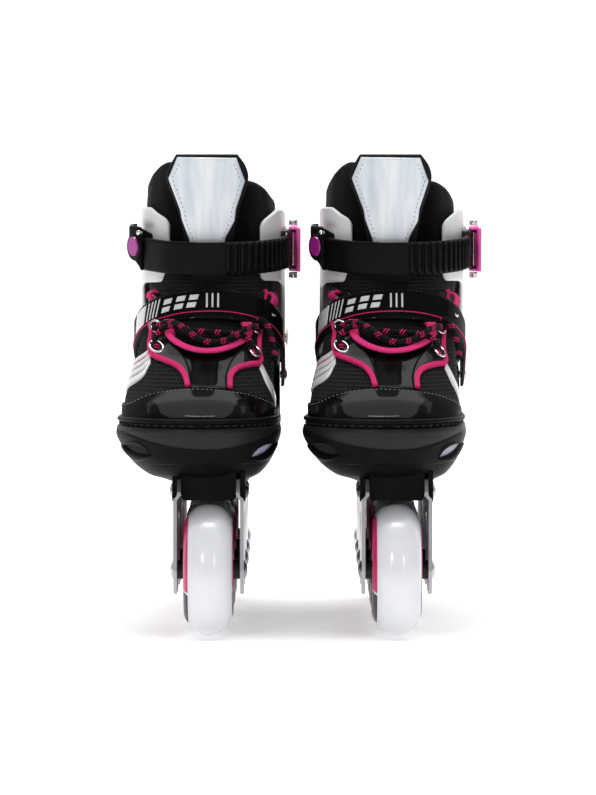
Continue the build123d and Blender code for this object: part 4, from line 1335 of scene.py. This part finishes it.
def disc(centre, out, radii, heights, squash=0.92):
    """A round boss on the tab's face: rings of the given radii at heights above it."""
    verts = []
    count = 48
    for radius, height in zip(radii, heights):
        for k in range(count):
            a = 2 * math.pi * k / count
            x, y = on_tab(centre[0] + squash * radius * math.cos(a), out + height)
            verts.append(tilted(x, y, centre[1] + radius * math.sin(a)))
    return np.array(verts), tube_faces(len(radii), count), np.array([(v[0], v[2]) for v in verts])


def make_tab():
    """The strap's fixed end: a rounded housing with a boss round its oval cap, and a small pin."""
    boss = disc((0.2, SCREW_UP - 0.5), 0, (6.9, 6.9, 6.5, 5.9), (-1.5, 0.1, 0.55, 0.7))
    add("tab_body", join([tab_shell(), boss]), [STRAP_BLACK], "cuff_body", "strap_black",
        replaces=("strap_tab",), outward=True)
    pin = disc((-3.6, 10.6), -0.2, (1.3, 1.3, 1.0, 0.5), (-1.5, 0.4, 0.8, 0.9), squash=1.0)
    add("tab_pin", pin, [CHROME], "cuff_body", "bolt_steel", outward=True)


def make_lever():
    """The buckle lever: outer plate with a flared lip, cheeks on the pin and a web between them."""
    half = 11.2
    plate = [(42.7, -1.0), (43.3, -2.9), (45.1, -3.2), (44.7, -1.0), (44.2, 2.0), (43.9, 10), (43.5, 18),
             (41.9, 20.5), (41.1, 20.0), (42.3, 17), (42.6, 8)]
    cheek = [(39.0, 1.0), (39.6, -0.6), (43.2, -0.6), (43.1, 17), (41.1, 18.5), (39.0, 6)]
    parts = [blade(plate, -half, half)]
    for w in (-half, half - 1.2):
        parts.append(blade(cheek, w, w + 1.2))
    add("lever_shell", join(parts), [LEVER], "lever_body", "lever_pink", replaces=("buckle_lever",),
        modifiers=[bevel(0.45, 3)], outward=True)
    # The web and front bar take the darker pink: painted shade for their shadowed faces.
    web = blade([(38.8, 9.4), (42.9, 9.4), (42.8, 16.5), (39.6, 16.5)], 1.0 - half, half - 1.0)
    front = blade([(41.6, 0.3), (42.8, 0.3), (42.8, 1.9), (41.6, 1.9)], -8.4, 8.4)
    add("lever_web", join([web, front]), [LEVER_PINK_SHADED], "lever_body", "lever_pink", modifiers=[bevel(0.5, 3)],
        outward=True)
    coils = []
    for w in (-11.6, 11.6):
        line = []
        for k in range(90):
            a = 2 * math.pi * k / 22
            level = w + math.copysign(0.6 + k * 0.028, w)
            line.append(tilted(LEVER_PIN[0] + 2.0 * math.cos(a), LEVER_PIN[1] + 2.0 * math.sin(a), level))
        coils.append(tube(line, 0.34, 8))
    add("lever_springs", join(coils), [CHROME], "cuff_body", "bolt_steel")


# ---- wheels ---------------------------------------------------------------------------
def flank_print(side, inner, outer, start, sweep_angle):
    """A thin printed sector on a tyre's flank, following its tread."""
    def across(r):
        if r <= 21:
            return 12.0
        return 12.0 * math.sqrt(max(1 - ((r - 21) / 11) ** 2, 0))

    points, uvs = [], []
    for r in np.linspace(inner, outer, 10):
        row = []
        for a in np.linspace(start, start + sweep_angle, 40):
            w = math.radians(a)
            x = side * (across(r) + 0.10)
            row.append((x, -(r + 0.06) * math.cos(w), (r + 0.06) * math.sin(w)))
            uvs.append((x * 3 + a, r))
        points.append(row)
    return sheet_grid(points, uvs)


def make_wheels():
    """Printed flanks on the CAD tyres."""
    prints = {"pink": [], "black": []}
    for turn in (0, 180):
        for side, outer in ((-1, 27.3), (1, 23.6)):
            prints["pink"].append(flank_print(side, 19.8, outer, turn - 20, 104))
            prints["black"].append(flank_print(side, 19.8, outer, turn - 66, 43))
    for kind, paint in (("pink", PRINT_PINK), ("black", PRINT_BLACK)):
        mesh = final_mesh(f"tyre_print_{kind}", join(prints[kind]), [paint], [solid(0.08, 1)])
        for number, (y, z) in enumerate(AXLES, 1):
            place(f"tyre_print_{kind}_{number}", mesh, f"wheel_{number}", at=(0, y, z))


# ---- CAD nodes that stay --------------------------------------------------------------
KEPT = {
    "footbed": (INSOLE, 0.3), "rivets": (BRASS, 0.25), "rail_outer": (RAIL, 0.35), "rail_inner": (RAIL, 0.35),
    "frame_bolts": (STEEL, 0.15), "axle_bolts": (STEEL, 0.15), "axle_spacers": (SPACER, 0.15),
    "bearings": (BEARING, 0.15), "strap_screw": (PURPLE, 0.5), "buckle_base": (BUCKLE_DARK, 0.3),
    "buckle_pin": (STEEL, 0.2),
}
for number in range(1, 5):
    KEPT[f"tyre_{number}"] = (TYRE, 0.0)
    KEPT[f"hub_{number}"] = (HUB, 0.3)


def dress(node, material, width):
    """A CAD node's finish: its material, and a small bevel on its sharp edges."""
    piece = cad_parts[node]
    piece.data.materials.clear()
    piece.data.materials.append(material)
    piece.data.polygons.foreach_set("use_smooth", [True] * len(piece.data.polygons))
    if width:
        modify(piece, *bevel(width, angle=40))


# ---- studio ---------------------------------------------------------------------------
def area_light(name, place_at, aim, size, power):
    light = bpy.data.lights.new(name, "AREA")
    light.shape = "RECTANGLE"
    light.size, light.size_y = size
    light.energy = power
    lamp = put(name, light, place_at)
    lamp.rotation_euler = (Vector(aim) - Vector(place_at)).to_track_quat("-Z", "Y").to_euler()


def make_studio():
    """Camera, soft lights and a seamless pale floor."""
    camera = bpy.data.cameras.new("camera")
    camera.lens = 222.5
    camera.sensor_width = 36.0
    camera.sensor_fit = "VERTICAL"
    camera.sensor_height = 36.0
    camera.clip_end = 50
    eye = put("camera", camera, (-0.0016, -2.5035, 0.235))
    eye.rotation_euler = (math.radians(90 - 2.83), 0, 0)
    bpy.context.scene.camera = eye

    curve = [(2.0 * math.sin(a), 2.0 - 2.0 * math.cos(a)) for a in np.linspace(0, math.pi / 2, 24)]
    profile = [(-6.0, 0.0), *curve, (2.0, 9.0)]
    verts = [(x, y + 1.0, z) for y, z in profile for x in (-8.0, 8.0)]
    faces = [(2 * k, 2 * k + 1, 2 * k + 3, 2 * k + 2) for k in range(len(profile) - 1)]
    mesh = bpy.data.meshes.new("floor")
    mesh.from_pydata(verts, [], faces)
    mesh.polygons.foreach_set("use_smooth", [True] * len(faces))
    floor = put("floor", mesh)
    p = Paint("floor_paint", Emission_Color=(1.0, 1.0, 1.0), Emission_Strength=0.32)
    pale = p.ramp(p.noise(3.0), (0.3, (0.90, 0.90, 0.90)), (0.7, (0.92, 0.92, 0.92)))
    mesh.materials.append(p.finish(Base_Color=pale, Roughness=p.spread(p.noise(8.0), 0.8, 0.95)))

    world = bpy.data.worlds.new("studio")
    world.use_nodes = True
    background = world.node_tree.nodes["Background"].inputs
    background["Color"].default_value = (1, 1, 1, 1)
    background["Strength"].default_value = 0.22
    bpy.context.scene.world = world
    bpy.context.scene.view_settings.view_transform = "Standard"
    area_light("key", (-1.0, -2.2, 1.1), (0, 0, 0.12), (0.18, 0.5), 9)
    area_light("fill", (1.2, -2.2, 0.9), (0, 0, 0.12), (0.12, 0.6), 5)
    area_light("top", (0, 0.5, 2.4), (0, 0.2, 0.0), (2.4, 1.6), 36)
    area_light("strip_left", (-0.28, -0.05, 2.2), (-0.02, -0.1, 0.1), (0.10, 0.5), 5)
    area_light("strip_right", (0.24, -0.05, 2.2), (0.02, -0.1, 0.1), (0.10, 0.5), 4)
    area_light("backdrop", (0, 1.6, 3.0), (0, 3.0, 0.6), (5.0, 1.0), 30)


# ---- everything -----------------------------------------------------------------------
make_studio()
for make in (make_base, make_counter, make_boot, make_throat, make_stripes, make_laces, make_instep_strap,
             make_collar, make_tongue, make_cuff, make_ladder, make_tab, make_lever, make_wheels):
    make()
for skate in SKATES:
    for node, (material, width) in KEPT.items():
        dress(f"{skate}_{node}", material, width)
